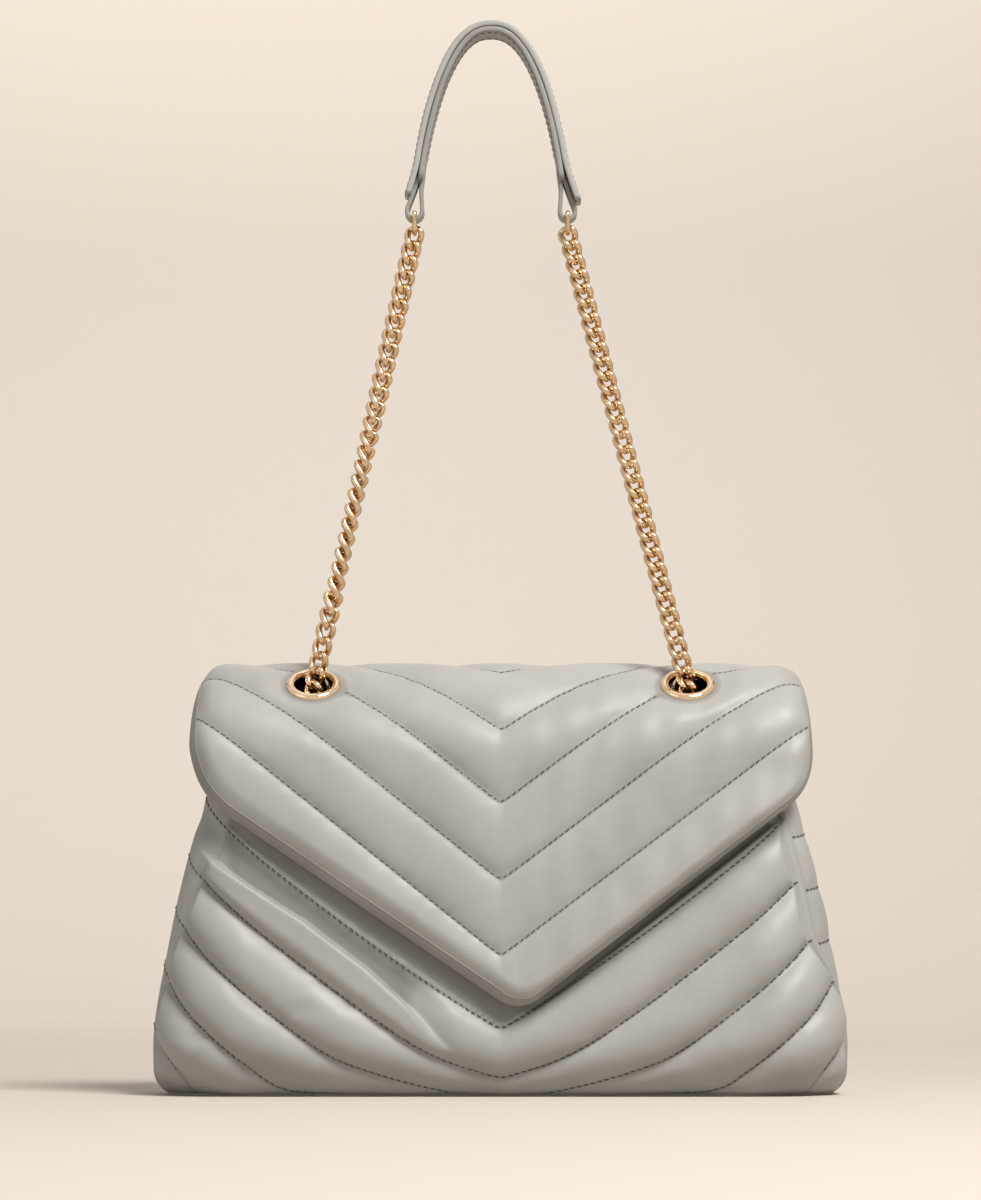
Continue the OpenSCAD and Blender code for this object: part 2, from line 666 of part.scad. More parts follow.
// Where the joints lie
puller_pin = on_panel(slider_y + pivot_up, zip_up);
function fold_height(n) = start_of(1)[1] + n * pitch_of(1) * cos(run_angle(1));
echo(flap_axis = on_bend(flap_seam_angle, flap_r) + [depth_shift, 0]);
echo(strap_y = chain_y + depth_shift);
echo(fold_heights = [fold_height(fixed_links), fold_height(fold_link)]);
echo(bend_heights = [fold_height(bend_link - 1), fold_height(bend_link)]);
// The bow of a ring slides through its link about the middle of its lowest curve
echo(pad_pivot = ring_h - ring_drop + pow(ring_half, 2) / ring_drop - hook_clear);
echo(puller_pin = [slider_x, depth_shift - puller_pin[0], puller_pin[1]]);
echo(panel_slope = slope);
echo(slider_travel = 2 * slider_x);
echo(middle_of_base = depth_shift);
echo(side_links = side_links, pitches = [pitch_of(-1), pitch_of(1)]);

front_panel();
back_panel();
base_panel();
gusset_left();
gusset_right();
base_board();
lining_front();
lining_back();
lining_base();
lining_left();
lining_right();
facing_front();
facing_back();
pocket_bag();
zip_frame();
zip_tape();
zip_teeth();
zip_slider();
zip_puller();
snap_socket();
snap_magnet();
snap_socket_plate();
flap_outer();
flap_lining();
flap_binding();
snap_stud();
snap_stud_plate();
grommet_left();
grommet_right();
grommet_washer_left();
grommet_washer_right();
chain_under_flap();
chain_in_grommets();
chain_fold();
chain_left_lower();
chain_right_lower();
chain_bend();
chain_left_upper();
chain_right_upper();
ring_left();
ring_right();
pad_inner();
pad_cover();
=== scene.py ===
"""Looks of the quilted chain shoulder bag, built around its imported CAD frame."""

import json
import math

import bmesh
import bpy
import numpy as np
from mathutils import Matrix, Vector
from mathutils.kdtree import KDTree


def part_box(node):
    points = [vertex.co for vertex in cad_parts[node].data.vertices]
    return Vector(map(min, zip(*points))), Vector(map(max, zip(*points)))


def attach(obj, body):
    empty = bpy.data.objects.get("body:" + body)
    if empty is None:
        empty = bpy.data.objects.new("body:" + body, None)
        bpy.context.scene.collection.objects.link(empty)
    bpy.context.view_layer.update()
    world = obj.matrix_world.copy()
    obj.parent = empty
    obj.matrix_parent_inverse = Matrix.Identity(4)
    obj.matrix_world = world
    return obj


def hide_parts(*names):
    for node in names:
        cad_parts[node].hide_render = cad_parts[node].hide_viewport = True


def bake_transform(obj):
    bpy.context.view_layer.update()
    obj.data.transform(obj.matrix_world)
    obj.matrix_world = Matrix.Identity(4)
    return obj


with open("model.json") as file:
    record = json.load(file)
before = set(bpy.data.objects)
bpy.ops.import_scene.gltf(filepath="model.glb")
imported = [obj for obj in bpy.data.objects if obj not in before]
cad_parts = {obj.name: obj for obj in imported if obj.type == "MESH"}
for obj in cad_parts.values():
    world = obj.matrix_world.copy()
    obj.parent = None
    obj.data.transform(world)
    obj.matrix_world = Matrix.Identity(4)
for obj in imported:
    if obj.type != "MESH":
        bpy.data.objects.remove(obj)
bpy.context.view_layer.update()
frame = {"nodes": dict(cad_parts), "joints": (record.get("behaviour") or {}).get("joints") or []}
nodes = frame["nodes"]
joints = {j["name"]: j for j in frame["joints"]}

# Shapes are worked out in millimetres and turned into metres when a mesh is made
MM = 0.001


def box_of(node):
    """Lowest and highest corner of a CAD node, in millimetres."""
    low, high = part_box(node)
    return np.array(low) / MM, np.array(high) / MM


def middle_of(node):
    """Middle of a CAD node's box, in millimetres."""
    low, high = box_of(node)
    return (low + high) / 2


def smooth(t):
    """Smooth step from 0 to 1."""
    t = np.clip(t, 0, 1)
    return t * t * (3 - 2 * t)


def ripple(u, v, length, seed):
    """Soft waves of about that wavelength, between -1 and 1, the same in each run."""
    chance = np.random.default_rng(seed)
    total = 0
    for _ in range(6):
        turn = chance.uniform(0, 2 * math.pi)
        stretch = chance.uniform(0.7, 1.5)
        start = chance.uniform(0, 2 * math.pi)
        along = u * math.cos(turn) + v * math.sin(turn)
        total = total + np.sin(2 * math.pi * along / (length * stretch) + start)
    return total / 6


# Mesh making


def make_mesh(name, points, faces, material):
    """A smooth-shaded object from points in millimetres."""
    data = bpy.data.meshes.new(name)
    data.from_pydata((np.asarray(points, float).reshape(-1, 3) * MM).tolist(), [], faces)
    data.validate()
    data.polygons.foreach_set("use_smooth", [True] * len(data.polygons))
    made = bpy.data.objects.new(name, data)
    bpy.context.scene.collection.objects.link(made)
    data.materials.append(material)
    return made


def make_piece(name, points, faces, material, slot, node=None, body=None, clean=True):
    """A piece with its finish, the CAD node that it replaces and the body that it rides on."""
    made = make_mesh(name, points, faces, material)
    if clean:
        clean_mesh(made)
    if node:
        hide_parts(node)
    if body:
        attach(made, body)
    return made


def clean_mesh(made):
    """Joins points that meet and turns all faces outwards."""
    work = bmesh.new()
    work.from_mesh(made.data)
    bmesh.ops.remove_doubles(work, verts=work.verts, dist=0.01 * MM)
    bmesh.ops.dissolve_degenerate(work, edges=work.edges, dist=0.001 * MM)
    bmesh.ops.recalc_face_normals(work, faces=work.faces)
    work.to_mesh(made.data)
    work.free()
    made.data.polygons.foreach_set("use_smooth", [True] * len(made.data.polygons))


def grid_faces(rows, columns, first=0, flip=False, around=False):
    """Quads of a grid of points, closed round its columns if asked."""
    index = first + np.arange(rows * columns).reshape(rows, columns)
    if around:
        index = np.hstack([index, index[:, :1]])
    quads = np.stack([index[:-1, :-1], index[:-1, 1:], index[1:, 1:], index[1:, :-1]], -1)
    quads = quads.reshape(-1, 4)
    return (quads[:, ::-1] if flip else quads).tolist()


def ring_faces(rows, columns, closed):
    """Faces of a skin over rings of points, joined end to end or closed by two caps."""
    faces = grid_faces(rows, columns, around=True)
    last = (rows - 1) * columns
    if closed:
        faces += [[last + i, last + (i + 1) % columns, (i + 1) % columns, i] for i in range(columns)]
    else:
        faces.append(list(range(columns))[::-1])
        faces.append([last + i for i in range(columns)])
    return faces


def shell(name, outer, inner, material, slot, node, body="bag"):
    """A closed piece between two grids of points of the same size."""
    rows, columns, _ = outer.shape
    count = rows * columns
    faces = grid_faces(rows, columns) + grid_faces(rows, columns, count, True)
    index = np.arange(count).reshape(rows, columns)
    rim = np.concatenate([index[0, :-1], index[:-1, -1], index[-1, :0:-1], index[:0:-1, 0]])
    faces += [[int(b), int(a), int(a) + count, int(b) + count] for a, b in zip(rim, np.roll(rim, -1))]
    points = np.vstack([outer.reshape(-1, 3), inner.reshape(-1, 3)])
    return make_piece(name, points, faces, material, slot, node, body)


def sweep(centres, across, up, section, closed=False):
    """Points and faces of a section carried along a path, with flat ends if it is open."""
    centres, across, up = (np.asarray(a, float) for a in (centres, across, up))
    section = np.asarray(section, float)
    if section.ndim == 2:
        section = np.repeat(section[None], len(centres), 0)
    points = (centres[:, None] + section[:, :, 0, None] * across[:, None]
              + section[:, :, 1, None] * up[:, None])
    rows, columns, _ = points.shape
    return points.reshape(-1, 3), ring_faces(rows, columns, closed)


def directions(path, closed=False):
    """Unit tangents of a path of points."""
    path = np.asarray(path, float)
    if closed:
        steps = np.roll(path, -1, 0) - np.roll(path, 1, 0)
    else:
        steps = np.gradient(path, axis=0)
    return steps / np.linalg.norm(steps, axis=1)[:, None]


def circle(steps):
    """Angles of evenly spaced steps round a circle."""
    return np.arange(steps) * 2 * math.pi / steps


def wire_loop(path, radius, sides, hint):
    """Points and faces of a closed loop of round wire, whose radius may change along it."""
    tangents = directions(path, True)
    across = np.cross(np.asarray(hint, float), tangents)
    across /= np.linalg.norm(across, axis=1)[:, None]
    up = np.cross(tangents, across)
    turn = circle(sides)
    section = np.stack([np.cos(turn), np.sin(turn)], 1)
    section = section[None] * np.broadcast_to(radius, len(path))[:, None, None]
    return sweep(path, across, up, section, True)


def joined(parts):
    """One list of points and faces from several."""
    points, faces, start = [], [], 0
    for some_points, some_faces in parts:
        points.append(some_points)
        faces += [[start + i for i in f] for f in some_faces]
        start += len(some_points)
    return np.vstack(points), faces


def grid_normals(grid):
    """Unit normals of a grid of points, from its two directions."""
    down = np.gradient(grid, axis=0)
    across = np.gradient(grid, axis=1)
    normal = np.cross(across, down)
    size = np.linalg.norm(normal, axis=2)[..., None]
    return normal / np.maximum(size, 1e-9)


def outward_normals(grid, axis, side):
    """Unit normals of a grid, which in its middle point to one side along an axis."""
    normals = grid_normals(grid)
    rows, columns, _ = grid.shape
    return -normals if normals[rows // 2, columns // 2, axis] * side < 0 else normals


def lengths_along(points):
    """Distance along a path, or along each row of a grid, from its first point."""
    steps = np.linalg.norm(np.diff(points, axis=-2), axis=-1)
    return np.concatenate([np.zeros(steps.shape[:-1] + (1,)), np.cumsum(steps, -1)], -1)


def at_places(places, run, line):
    """Values of a line of points or directions at distances along it."""
    return np.stack([np.interp(places, run, column) for column in np.asarray(line, float).T], 1)


def rounded(path, rounds):
    """A path with its corners smoothed, and its ends left in place."""
    for _ in range(rounds):
        path[1:-1] = (path[:-2] + 2 * path[1:-1] + path[2:]) / 4
    return path


def resample(path, normals, pitch):
    """Evenly spaced places along a path: points, directions and normals."""
    run = lengths_along(path)
    places = np.arange(pitch / 2, run[-1], pitch)
    points = at_places(places, run, path)
    along = at_places(places + 0.4, run, path) - at_places(places - 0.4, run, path)
    along /= np.maximum(np.linalg.norm(along, axis=1), 1e-9)[:, None]
    out = at_places(places, run, normals)
    out -= (out * along).sum(1)[:, None] * along
    out /= np.maximum(np.linalg.norm(out, axis=1), 1e-9)[:, None]
    return points, along, out


STITCH_PITCH = 3.3
STITCH_LENGTH = 2.5
THREAD_R = 0.46
# Each stitch lies a little across its row
STITCH_SLANT = 0.2
# Each stitch is pressed flat, and its ends dip into the leather
STITCH_FLAT = 0.8
STITCH_DIP = 0.5
STITCH_SIDES = 6
# Share of a stitch's length, from its middle, and share of its thickness there
STITCH_RINGS = [(-0.5, 0.0), (-0.42, 0.7), (-0.2, 1.0), (0.2, 1.0), (0.42, 0.7), (0.5, 0.0)]


def stitches(name, rows, slot, body=None, lift=0.12):
    """One mesh with stitches along each row of points and normals."""
    turn = circle(STITCH_SIDES)
    faces = grid_faces(len(STITCH_RINGS), STITCH_SIDES, around=True)
    parts = []
    for path, normals in rows:
        if len(path) < 2:
            continue
        points, along, out = resample(path, normals, STITCH_PITCH)
        side = np.cross(along, out)
        lean = along * math.cos(STITCH_SLANT) + side * math.sin(STITCH_SLANT)
        side = side * math.cos(STITCH_SLANT) - along * math.sin(STITCH_SLANT)
        for centre, a, o, s in zip(points, lean, out, side):
            ring = np.outer(np.cos(turn), s) + np.outer(np.sin(turn), o) * STITCH_FLAT
            rings = [centre + a * share * STITCH_LENGTH + ring * size * THREAD_R
                     + o * (lift - STITCH_DIP * share * share)
                     for share, size in STITCH_RINGS]
            parts.append((np.vstack(rings), faces))
    return make_piece(name, *joined(parts), thread, slot, None, body, False)


def level_line(grid, normals, values, level, keep):
    """The line on a grid of points where values reach a level, one point for each column."""
    points, outs = [], []
    for c in range(grid.shape[1]):
        column = values[:, c] - level
        crossing = np.nonzero(column[:-1] * column[1:] < 0)[0]
        if len(crossing) == 0:
            continue
        r = crossing[0]
        if not (keep[r, c] and keep[r + 1, c]):
            continue
        share = column[r] / (column[r] - column[r + 1])
        points.append(grid[r, c] * (1 - share) + grid[r + 1, c] * share)
        outs.append(normals[r, c])
    return np.array(points), np.array(outs)


def split_runs(points, normals, gap=9.0):
    """Cuts a line of points where it jumps."""
    steps = np.linalg.norm(np.diff(points, axis=0), axis=1)
    cuts = np.nonzero(steps > gap)[0] + 1
    return list(zip(np.split(points, cuts), np.split(normals, cuts)))


def seam_rows(grid, normals, values, seams, keep):
    """Lines on a grid where values reach each seam's level, cut where a seam is broken."""
    lines = [level_line(grid, normals, values, seam, keep) for seam in seams]
    return [part for line in lines if len(line[0]) > 3 for part in split_runs(*line)]


# How far along its axis a hole cuts faces, and joins the edges that are left
CUT_REACH = 12.0
JOIN_REACH = 15.0


def punch(made, centre, axis, radius):
    """Cuts a round hole through a closed thin piece, and closes its wall."""
    centre = Vector(centre) * MM
    axis = Vector(axis).normalized()
    work = bmesh.new()
    work.from_mesh(made.data)

    def off(p):
        rel = p - centre
        return (rel - axis * rel.dot(axis)).length

    near = [f for f in work.faces
            if abs((f.calc_center_median() - centre).dot(axis)) < CUT_REACH * MM
            and all(off(v.co) < radius * MM for v in f.verts)]
    bmesh.ops.delete(work, geom=near, context="FACES")
    edges = [e for e in work.edges if e.is_boundary
             and off(e.verts[0].co) < 1.5 * radius * MM
             and abs((e.verts[0].co - centre).dot(axis)) < JOIN_REACH * MM]
    if edges:
        bmesh.ops.bridge_loops(work, edges=edges)
    work.to_mesh(made.data)
    work.free()


# Materials


def colour(red, green, blue):
    """Linear colour from the usual 0 to 255 values."""
    def linear(v):
        v = v / 255
        return v / 12.92 if v <= 0.04045 else ((v + 0.055) / 1.055) ** 2.4
    return (linear(red), linear(green), linear(blue), 1)


def plug(socket, value):
    """Sets a socket to a number or colour, or links another node's output to it."""
    if isinstance(value, bpy.types.NodeSocket):
        socket.id_data.links.new(value, socket)
    else:
        socket.default_value = value


def new_node(tree, kind, inputs, **settings):
    """Outputs of a new shader node, whose inputs are set or linked."""
    made = tree.nodes.new("ShaderNode" + kind)
    for key, value in settings.items():
        setattr(made, key, value)
    for key, value in inputs.items():
        plug(made.inputs[key], value)
    return made.outputs


class Surface:
    """A node material with helpers for its usual parts."""

    def __init__(self, name):
        self.made = bpy.data.materials.new(name)
        self.made.use_nodes = True
        self.tree = self.made.node_tree
        self.place = new_node(self.tree, "TexCoord", {})["Object"]

    def noise(self, size, detail=3.0, roughness=0.55):
        """Noise whose patches are about size millimetres wide."""
        inputs = {"Scale": 1 / (size * MM), "Detail": detail, "Roughness": roughness, "Vector": self.place}
        return new_node(self.tree, "TexNoise", inputs)["Fac"]

    def cells(self, size):
        """Distance to the edge of cells about size millimetres wide."""
        inputs = {"Scale": 1 / (size * MM), "Vector": self.place}
        return new_node(self.tree, "TexVoronoi", inputs, feature="DISTANCE_TO_EDGE")["Distance"]

    def ramp(self, value, low, high, low_at=0.0, high_at=1.0):
        """Turns a value into a range of numbers."""
        inputs = {"From Min": low_at, "From Max": high_at, "To Min": low, "To Max": high, "Value": value}
        return new_node(self.tree, "MapRange", inputs)["Result"]

    def mixed(self, share, first, second):
        """Colour between two others."""
        inputs = {"Factor": share, "A": first, "B": second}
        return new_node(self.tree, "Mix", inputs, data_type="RGBA")["Result"]

    def bump(self, height, distance, strength, under=None):
        """Bump of that many millimetres, over another bump if given."""
        inputs = {"Distance": distance * MM, "Strength": strength, "Height": height}
        if under is not None:
            inputs["Normal"] = under
        return new_node(self.tree, "Bump", inputs)["Normal"]

    def finish(self, **inputs):
        """The material, with its shader's inputs set or linked."""
        for key, value in inputs.items():
            plug(self.tree.nodes["Principled BSDF"].inputs[SHADER_INPUTS[key]], value)
        return self.made


SHADER_INPUTS = {"base": "Base Color", "roughness": "Roughness", "normal": "Normal", "metallic": "Metallic",
                 "specular": "Specular IOR Level", "coat": "Coat Weight", "coat_roughness": "Coat Roughness",
                 "anisotropic": "Anisotropic", "sheen": "Sheen Weight", "sheen_roughness": "Sheen Roughness"}


def leather_material(name, light, dark, painted_shade=None, grain=0.9):
    """Smooth fine-grained leather: soft mottling, small creases and grain, and painted shade in seams and
    hollows, where the padding is low.
    """
    made = Surface(name)
    base = made.mixed(made.ramp(made.noise(38, 4), 0, 1, 0.3, 0.7), dark, light)
    base = made.mixed(made.ramp(made.noise(3.2), 0.0, 0.22, 0.45, 0.75), base, dark)
    # Painted shade: the colour darkens where the stored padding height is low, in seams, hollows and under
    # the flap
    if painted_shade:
        height = new_node(made.tree, "Attribute", {}, attribute_name="crest")["Fac"]
        base = made.mixed(made.ramp(height, 0.55, 0.0, 0.0, 0.16), base, painted_shade)
    roughness = made.ramp(made.noise(14, 4), 0.42, 0.52, 0.3, 0.7)
    creases = made.bump(made.noise(grain * 7, 5, 0.6), 0.25, 0.5)
    pores = made.bump(made.cells(grain), 0.045, 0.7, creases)
    return made.finish(base=base, roughness=roughness, normal=pores, specular=0.42, coat=0.06,
                       coat_roughness=0.3)


def metal_material(name, light, dark, rough):
    """Polished plated metal with faint wear and fine scratches."""
    made = Surface(name)
    base = made.mixed(made.ramp(made.noise(5, 4), 0, 1, 0.3, 0.75), light, dark)
    roughness = made.ramp(made.noise(2.2, 5), *rough, 0.3, 0.7)
    return made.finish(base=base, roughness=roughness, normal=made.bump(made.noise(0.8, 4), 0.012, 0.6),
                       metallic=1.0, anisotropic=0.15)


def cloth_material(name, light, dark, thread=0.5):
    """Woven cloth: two crossed sets of threads."""
    made = Surface(name)
    inputs = {"Scale": 0.31 / (thread * MM), "Distortion": 0.6, "Detail": 2, "Vector": made.place}
    waves = [new_node(made.tree, "TexWave", inputs, bands_direction=direction)["Fac"]
             for direction in ("X", "Z")]
    weave = new_node(made.tree, "Math", dict(enumerate(waves)), operation="MULTIPLY")["Value"]
    base = made.mixed(made.ramp(made.noise(20, 4), 0, 0.6, 0.3, 0.7), light, dark)
    base = made.mixed(made.ramp(weave, 0.25, 0.0), base, dark)
    return made.finish(base=base, roughness=made.ramp(made.noise(6), 0.75, 0.92),
                       normal=made.bump(weave, 0.12, 0.6), sheen=0.25, sheen_roughness=0.5)


LEATHER_LIGHT = colour(192, 189, 183)
LEATHER_DARK = colour(180, 177, 170)
# Colour of the painted shade in the leather's seams and hollows
SEAM_SHADE = colour(112, 108, 103)
quilted = leather_material("quilted_leather", LEATHER_LIGHT, LEATHER_DARK, SEAM_SHADE)
plain = leather_material("plain_leather", LEATHER_LIGHT, LEATHER_DARK)
inner_leather = leather_material("lining_leather", colour(160, 156, 149), colour(146, 142, 135), None, 1.2)
edge_paint = leather_material("edge_leather", colour(172, 169, 163), colour(155, 151, 145))
# The thread is darker than the leather mostly as painted shade of its stitch grooves, and a little as its
# own grey
thread = cloth_material("thread", colour(114, 110, 105), colour(90, 87, 83), 0.25)
lining_cloth = cloth_material("lining_cloth", colour(142, 132, 122), colour(118, 109, 100))
tape_cloth = cloth_material("zip_tape_cloth", colour(128, 122, 114), colour(104, 98, 92), 0.4)
gold = metal_material("gold_metal", colour(230, 200, 162), colour(208, 176, 136), (0.16, 0.3))
rim_gold = metal_material("rim_gold_metal", colour(240, 214, 180), colour(224, 194, 156), (0.05, 0.12))
steel = metal_material("magnet_steel", colour(176, 176, 178), colour(150, 150, 154), (0.25, 0.4))
board_card = cloth_material("base_board_card", colour(150, 134, 110), colour(128, 113, 92), 1.2)

# Body of the bag: one rounded form that every panel, gusset and lining follows

front_low, front_high = box_of("front_panel")
_, back_high = box_of("back_panel")
HALF_WIDTH = front_high[0]
MID_Y = (front_low[1] + back_high[1]) / 2
# Half the depth where the leaning faces would meet the floor
HALF_DEPTH = 55.04
MOUTH_Z = front_high[2]
PANEL_T = 6.0
# From this height up the body grows narrower towards the mouth, faster and faster
WIDE_Z = 24.0
MOUTH_HALF_WIDTH = 134.0
NARROWING = 1.42
# Share of the height by which the front and back panels lean in
LEAN = 0.08075
# Reach of a corner of the plan across and in depth, near the foot and near the mouth
CORNER_X = (42, 38)
CORNER_Y = (40, 26)
# Quarter turns round the corner at which the panels end, on the right above and at the foot
LEFT_END = 0.98
RIGHT_END = (0.58, 0.92)
# Lowest places of the soft pieces' outer and inner faces
LEAST_Z = 0.25
LEAST_INNER_Z = 1.6
# How far the cloth lining lies inside the body's face
LINING_IN = 6.35
# Below this height the panels turn under the bag
UNDER_Z = 42.0
UNDER_IN = 22.0
# Below this height the ends of the body are rounded in
FOOT_R = 12.0
FOOT_IN = 11.0
# The sides are folded inwards by this much half way up, over this much of their depth
FOLD_IN = 9.0
FOLD_LOW = 40.0
FOLD_HALF = 18.0


def half_width(z):
    """Half the width of the bag at a height."""
    share = np.maximum(z - WIDE_Z, 0) / (MOUTH_Z - WIDE_Z)
    foot = np.clip((FOOT_R - z) / FOOT_R, 0, 1)
    return (HALF_WIDTH - (HALF_WIDTH - MOUTH_HALF_WIDTH) * share ** NARROWING
            - FOOT_IN * (1 - np.sqrt(1 - foot ** 2)))


def half_depth(z):
    """Half the depth of the bag at a height, to the plane of the CAD panels and under it."""
    share = np.clip((UNDER_Z - z) / UNDER_Z, 0, 1)
    return HALF_DEPTH - z * LEAN - UNDER_IN * (1 - np.sqrt(1 - share ** 2))


def body_section(p, z, inset=0.0, pinch=1.0):
    """Place across and in depth on one quarter of the rounded body. p runs from 0 on the middle
    line to 1 where the corner starts, 2 where it ends and 3 in the middle of the side."""
    a = half_width(z) - inset
    d = half_depth(z) - inset
    high = smooth((z - 60) / 60)
    rx = CORNER_X[0] + (CORNER_X[1] - CORNER_X[0]) * high - 0.7 * inset
    ry = np.minimum(CORNER_Y[0] + (CORNER_Y[1] - CORNER_Y[0]) * high, d - 3) - 0.5 * inset
    turn = np.clip(p - 1, 0, 1) * math.pi / 2
    x = np.where(p < 1, p * (a - rx), a - rx + rx * np.sin(turn))
    y = -d + ry * (1 - np.cos(turn))
    y = np.where(p > 2, (-d + ry) * (3 - p), y)
    share = np.clip((z - FOLD_LOW) / (MOUTH_Z - FOLD_LOW), 0, 1)
    fold = FOLD_IN * np.sin(math.pi * share) * pinch
    x = x - fold * smooth(1 - np.abs(y) / FOLD_HALF) * (p > 1)
    return x, y


def body_grid(ps, zs, inset=0.0, side=-1):
    """Points of the body for signed p (rows by columns) at heights. side is -1 in front, 1 behind."""
    x, y = body_section(np.abs(ps), zs, inset)
    return np.stack([np.sign(ps) * x, MID_Y - side * y, zs + 0 * x], -1)


def side_grid(start, zs, columns, side_x, inset):
    """Points round one side of the body at heights, from a signless p in front to the same behind."""
    c = np.linspace(0, 2, columns)[None]
    ps = start + (3 - start) * np.where(c < 1, c, 2 - c) + 0 * zs
    z = zs + 0 * ps
    x, y = body_section(ps, z, inset)
    return np.stack([side_x * x, MID_Y + np.where(c > 1, -y, y), z], -1)


def panel_edge_turn(z, side_x):
    """Angle round the corner, in quarter turns, at which a panel ends."""
    if side_x < 0:
        return LEFT_END + 0 * z
    high, low = RIGHT_END
    return high + (low - high) * smooth((78 - z) / 40)


SEAM_SLOPE = 0.77
SEAM_PITCH = 34.0
# Level of the panels' seam that runs along the flap's edge, and of all their seams
FLAP_LEVEL = 32
PANEL_SEAMS = [FLAP_LEVEL + SEAM_PITCH * k for k in range(-5, 5)]
VERTEX_ROUND = 1.5
CREASE_ROUND = 0.04


def chevron(s, w, left, right, curve=0.0):
    """Height of the chevron that passes through a place, at its point on the middle line."""
    run = np.sqrt(s * s + VERTEX_ROUND ** 2) - VERTEX_ROUND
    return w - np.where(s < 0, left, right) * run - curve * run * run


def flap_chevron(x, v):
    """Chevron of the flap, whose left arms are a little steeper."""
    return chevron(x, v, 0.80, 0.755)


def panel_chevron(s, w):
    """Chevron of a panel, whose arms steepen towards the sides."""
    return chevron(s, w, 0.62, 0.62, 0.0008)


def channels(level, seams):
    """For each level: distance to the nearest seam, half the channel's width, both square to
    the seams, and the place between the lower seam, 0, and the upper one, 1."""
    seams = np.asarray(seams, float)
    upper = np.clip(np.searchsorted(seams, level), 1, len(seams) - 1)
    low, high = seams[upper - 1], seams[upper]
    square = math.cos(math.atan(SEAM_SLOPE))
    place = np.clip((level - low) / (high - low), 0, 1)
    distance = np.minimum(np.abs(level - low), np.abs(high - level)) * square
    return distance, (high - low) / 2 * square, place


def soft_least(a, b, width=0.16):
    """The smaller of two numbers, rounded where they meet."""
    near = np.clip(0.5 + 0.5 * (b - a) / width, 0, 1)
    return b * (1 - near) + a * near - width * near * (1 - near)


def crowned(t):
    """Height of padding at a share of the way from its seam, 0, to its middle, 1."""
    return (1 - (1 - np.clip(t, 0, 1)) ** 2.3) ** 0.82


def puffed(level, seams, sag=0.9, ends=None):
    """Height of the padding between seams, from 0 at a seam to 1 in the middle of a channel."""
    _, half, place = channels(level, seams)
    place = place ** sag
    t = 1 - np.abs(2 * place - 1)
    if ends is not None:
        t = soft_least(t, np.maximum(ends, 0) / half)
    return crowned(np.sqrt(t * t + CREASE_ROUND ** 2) - CREASE_ROUND)


# Flap: a padded leaf bent over the mouth, given by its place across and its run from the front

_, flap_high = box_of("flap_outer")
binding_low, binding_high = box_of("flap_binding")
FLAP_R = 50.0
BEND_Z = binding_high[2] - FLAP_R
SLOPE_ANGLE = math.atan(LEAN)
BEND_START = FLAP_R * math.sin(SLOPE_ANGLE)
FLAP_END_ANGLE = math.radians(170)
BEND_Y = flap_high[1] + FLAP_R * math.cos(FLAP_END_ANGLE)
BEND_END = BEND_START + FLAP_R * (FLAP_END_ANGLE - SLOPE_ANGLE)
LAP = 11.0
FLAP_T = 7.2
OUTER_T = 6.0
# The soft leaf is a little fuller than its solid, and rolls under along its edge
FLAP_HALF = binding_high[0] + 0.6
EDGE_R = FLAP_T
# Thickness of the band that binds the edge, and radius of the snap's hole
BAND_T = 0.8
SNAP_R = 8.6
TIP_Z = binding_low[2]
TIP_R = 16.0
TIP_X = 8.0
# The left corner is rounder than the right one
TURN_R = {-1: 50.0, 1: 32.0}
CORNER_Z = 146.0
# The leaf droops over the ends of the bag at this radius
ROLL_R = 20.0
# How far its right edge stands off the bag, and over what width
FLARE = 3.6
FLARE_WIDTH = 34.0
# Depth of the flap's face at a seam below the plain bend, and how high its padding rises
FLAP_DROP = 1.4
FLAP_RISE = 2.6
FLAP_SEAMS = [-122.5, -87.4, -52.3, -16.5, 18.4, 61.0, 96.0, 131.0, 166.0]


def flap_outline(turn_r, steps=14):
    """Half of the flap's outline from its point up one side: across, and run."""
    rise = CORNER_Z - TIP_Z - TIP_R
    slope = math.atan(rise / FLAP_HALF) + math.asin(TIP_R / math.hypot(FLAP_HALF, rise))
    half = (math.pi / 2 - slope) / 2
    tip = [(TIP_R * math.sin(slope * i / steps), TIP_Z + TIP_R - TIP_R * math.cos(slope * i / steps))
           for i in range(steps + 1)]
    middle_z = CORNER_Z + turn_r * math.tan(half)
    turn = [(FLAP_HALF - turn_r + turn_r * math.cos(-2 * half * (1 - i / steps)),
             middle_z + turn_r * math.sin(-2 * half * (1 - i / steps))) for i in range(steps + 1)]
    top = [(FLAP_HALF, BEND_Z + BEND_END + LAP)]
    line = np.array(tip + turn + top)
    line[:, 1] -= BEND_Z
    return line


OUTLINES = {side: flap_outline(turn_r) for side, turn_r in TURN_R.items()}
# Runs at which the leaf starts, at its point, and ends
POINT_V, END_V = OUTLINES[1][[0, -1], 1]


def flap_half_width(v, left):
    """Half the width of the flap at a run, on its left or right side."""
    wide = [np.interp(v, OUTLINES[side][:, 1], OUTLINES[side][:, 0]) for side in (-1, 1)]
    return np.where(left, wide[0], wide[1])


def flap_skew(v):
    """How far the flap lies to the right of the middle line, most at its point."""
    return TIP_X * smooth((CORNER_Z - BEND_Z - v) / (CORNER_Z - TIP_Z))


def edge_distance(x, v):
    """Distance from places on the flat flap to its outline, negative outside."""
    x = x - flap_skew(v)
    left = x < 0
    x = np.abs(x)
    best = np.full(np.shape(x), 1e9)
    for side, outline in OUTLINES.items():
        for (x0, v0), (x1, v1) in zip(outline[:-1], outline[1:]):
            dx, dv = x1 - x0, v1 - v0
            t = np.clip(((x - x0) * dx + (v - v0) * dv) / (dx * dx + dv * dv), 0, 1)
            away = np.hypot(x - x0 - t * dx, v - v0 - t * dv)
            best = np.where(left == (side < 0), np.minimum(best, away), best)
    inside = (x <= flap_half_width(v, left)) & (v >= POINT_V)
    return np.where(inside, best, -best)


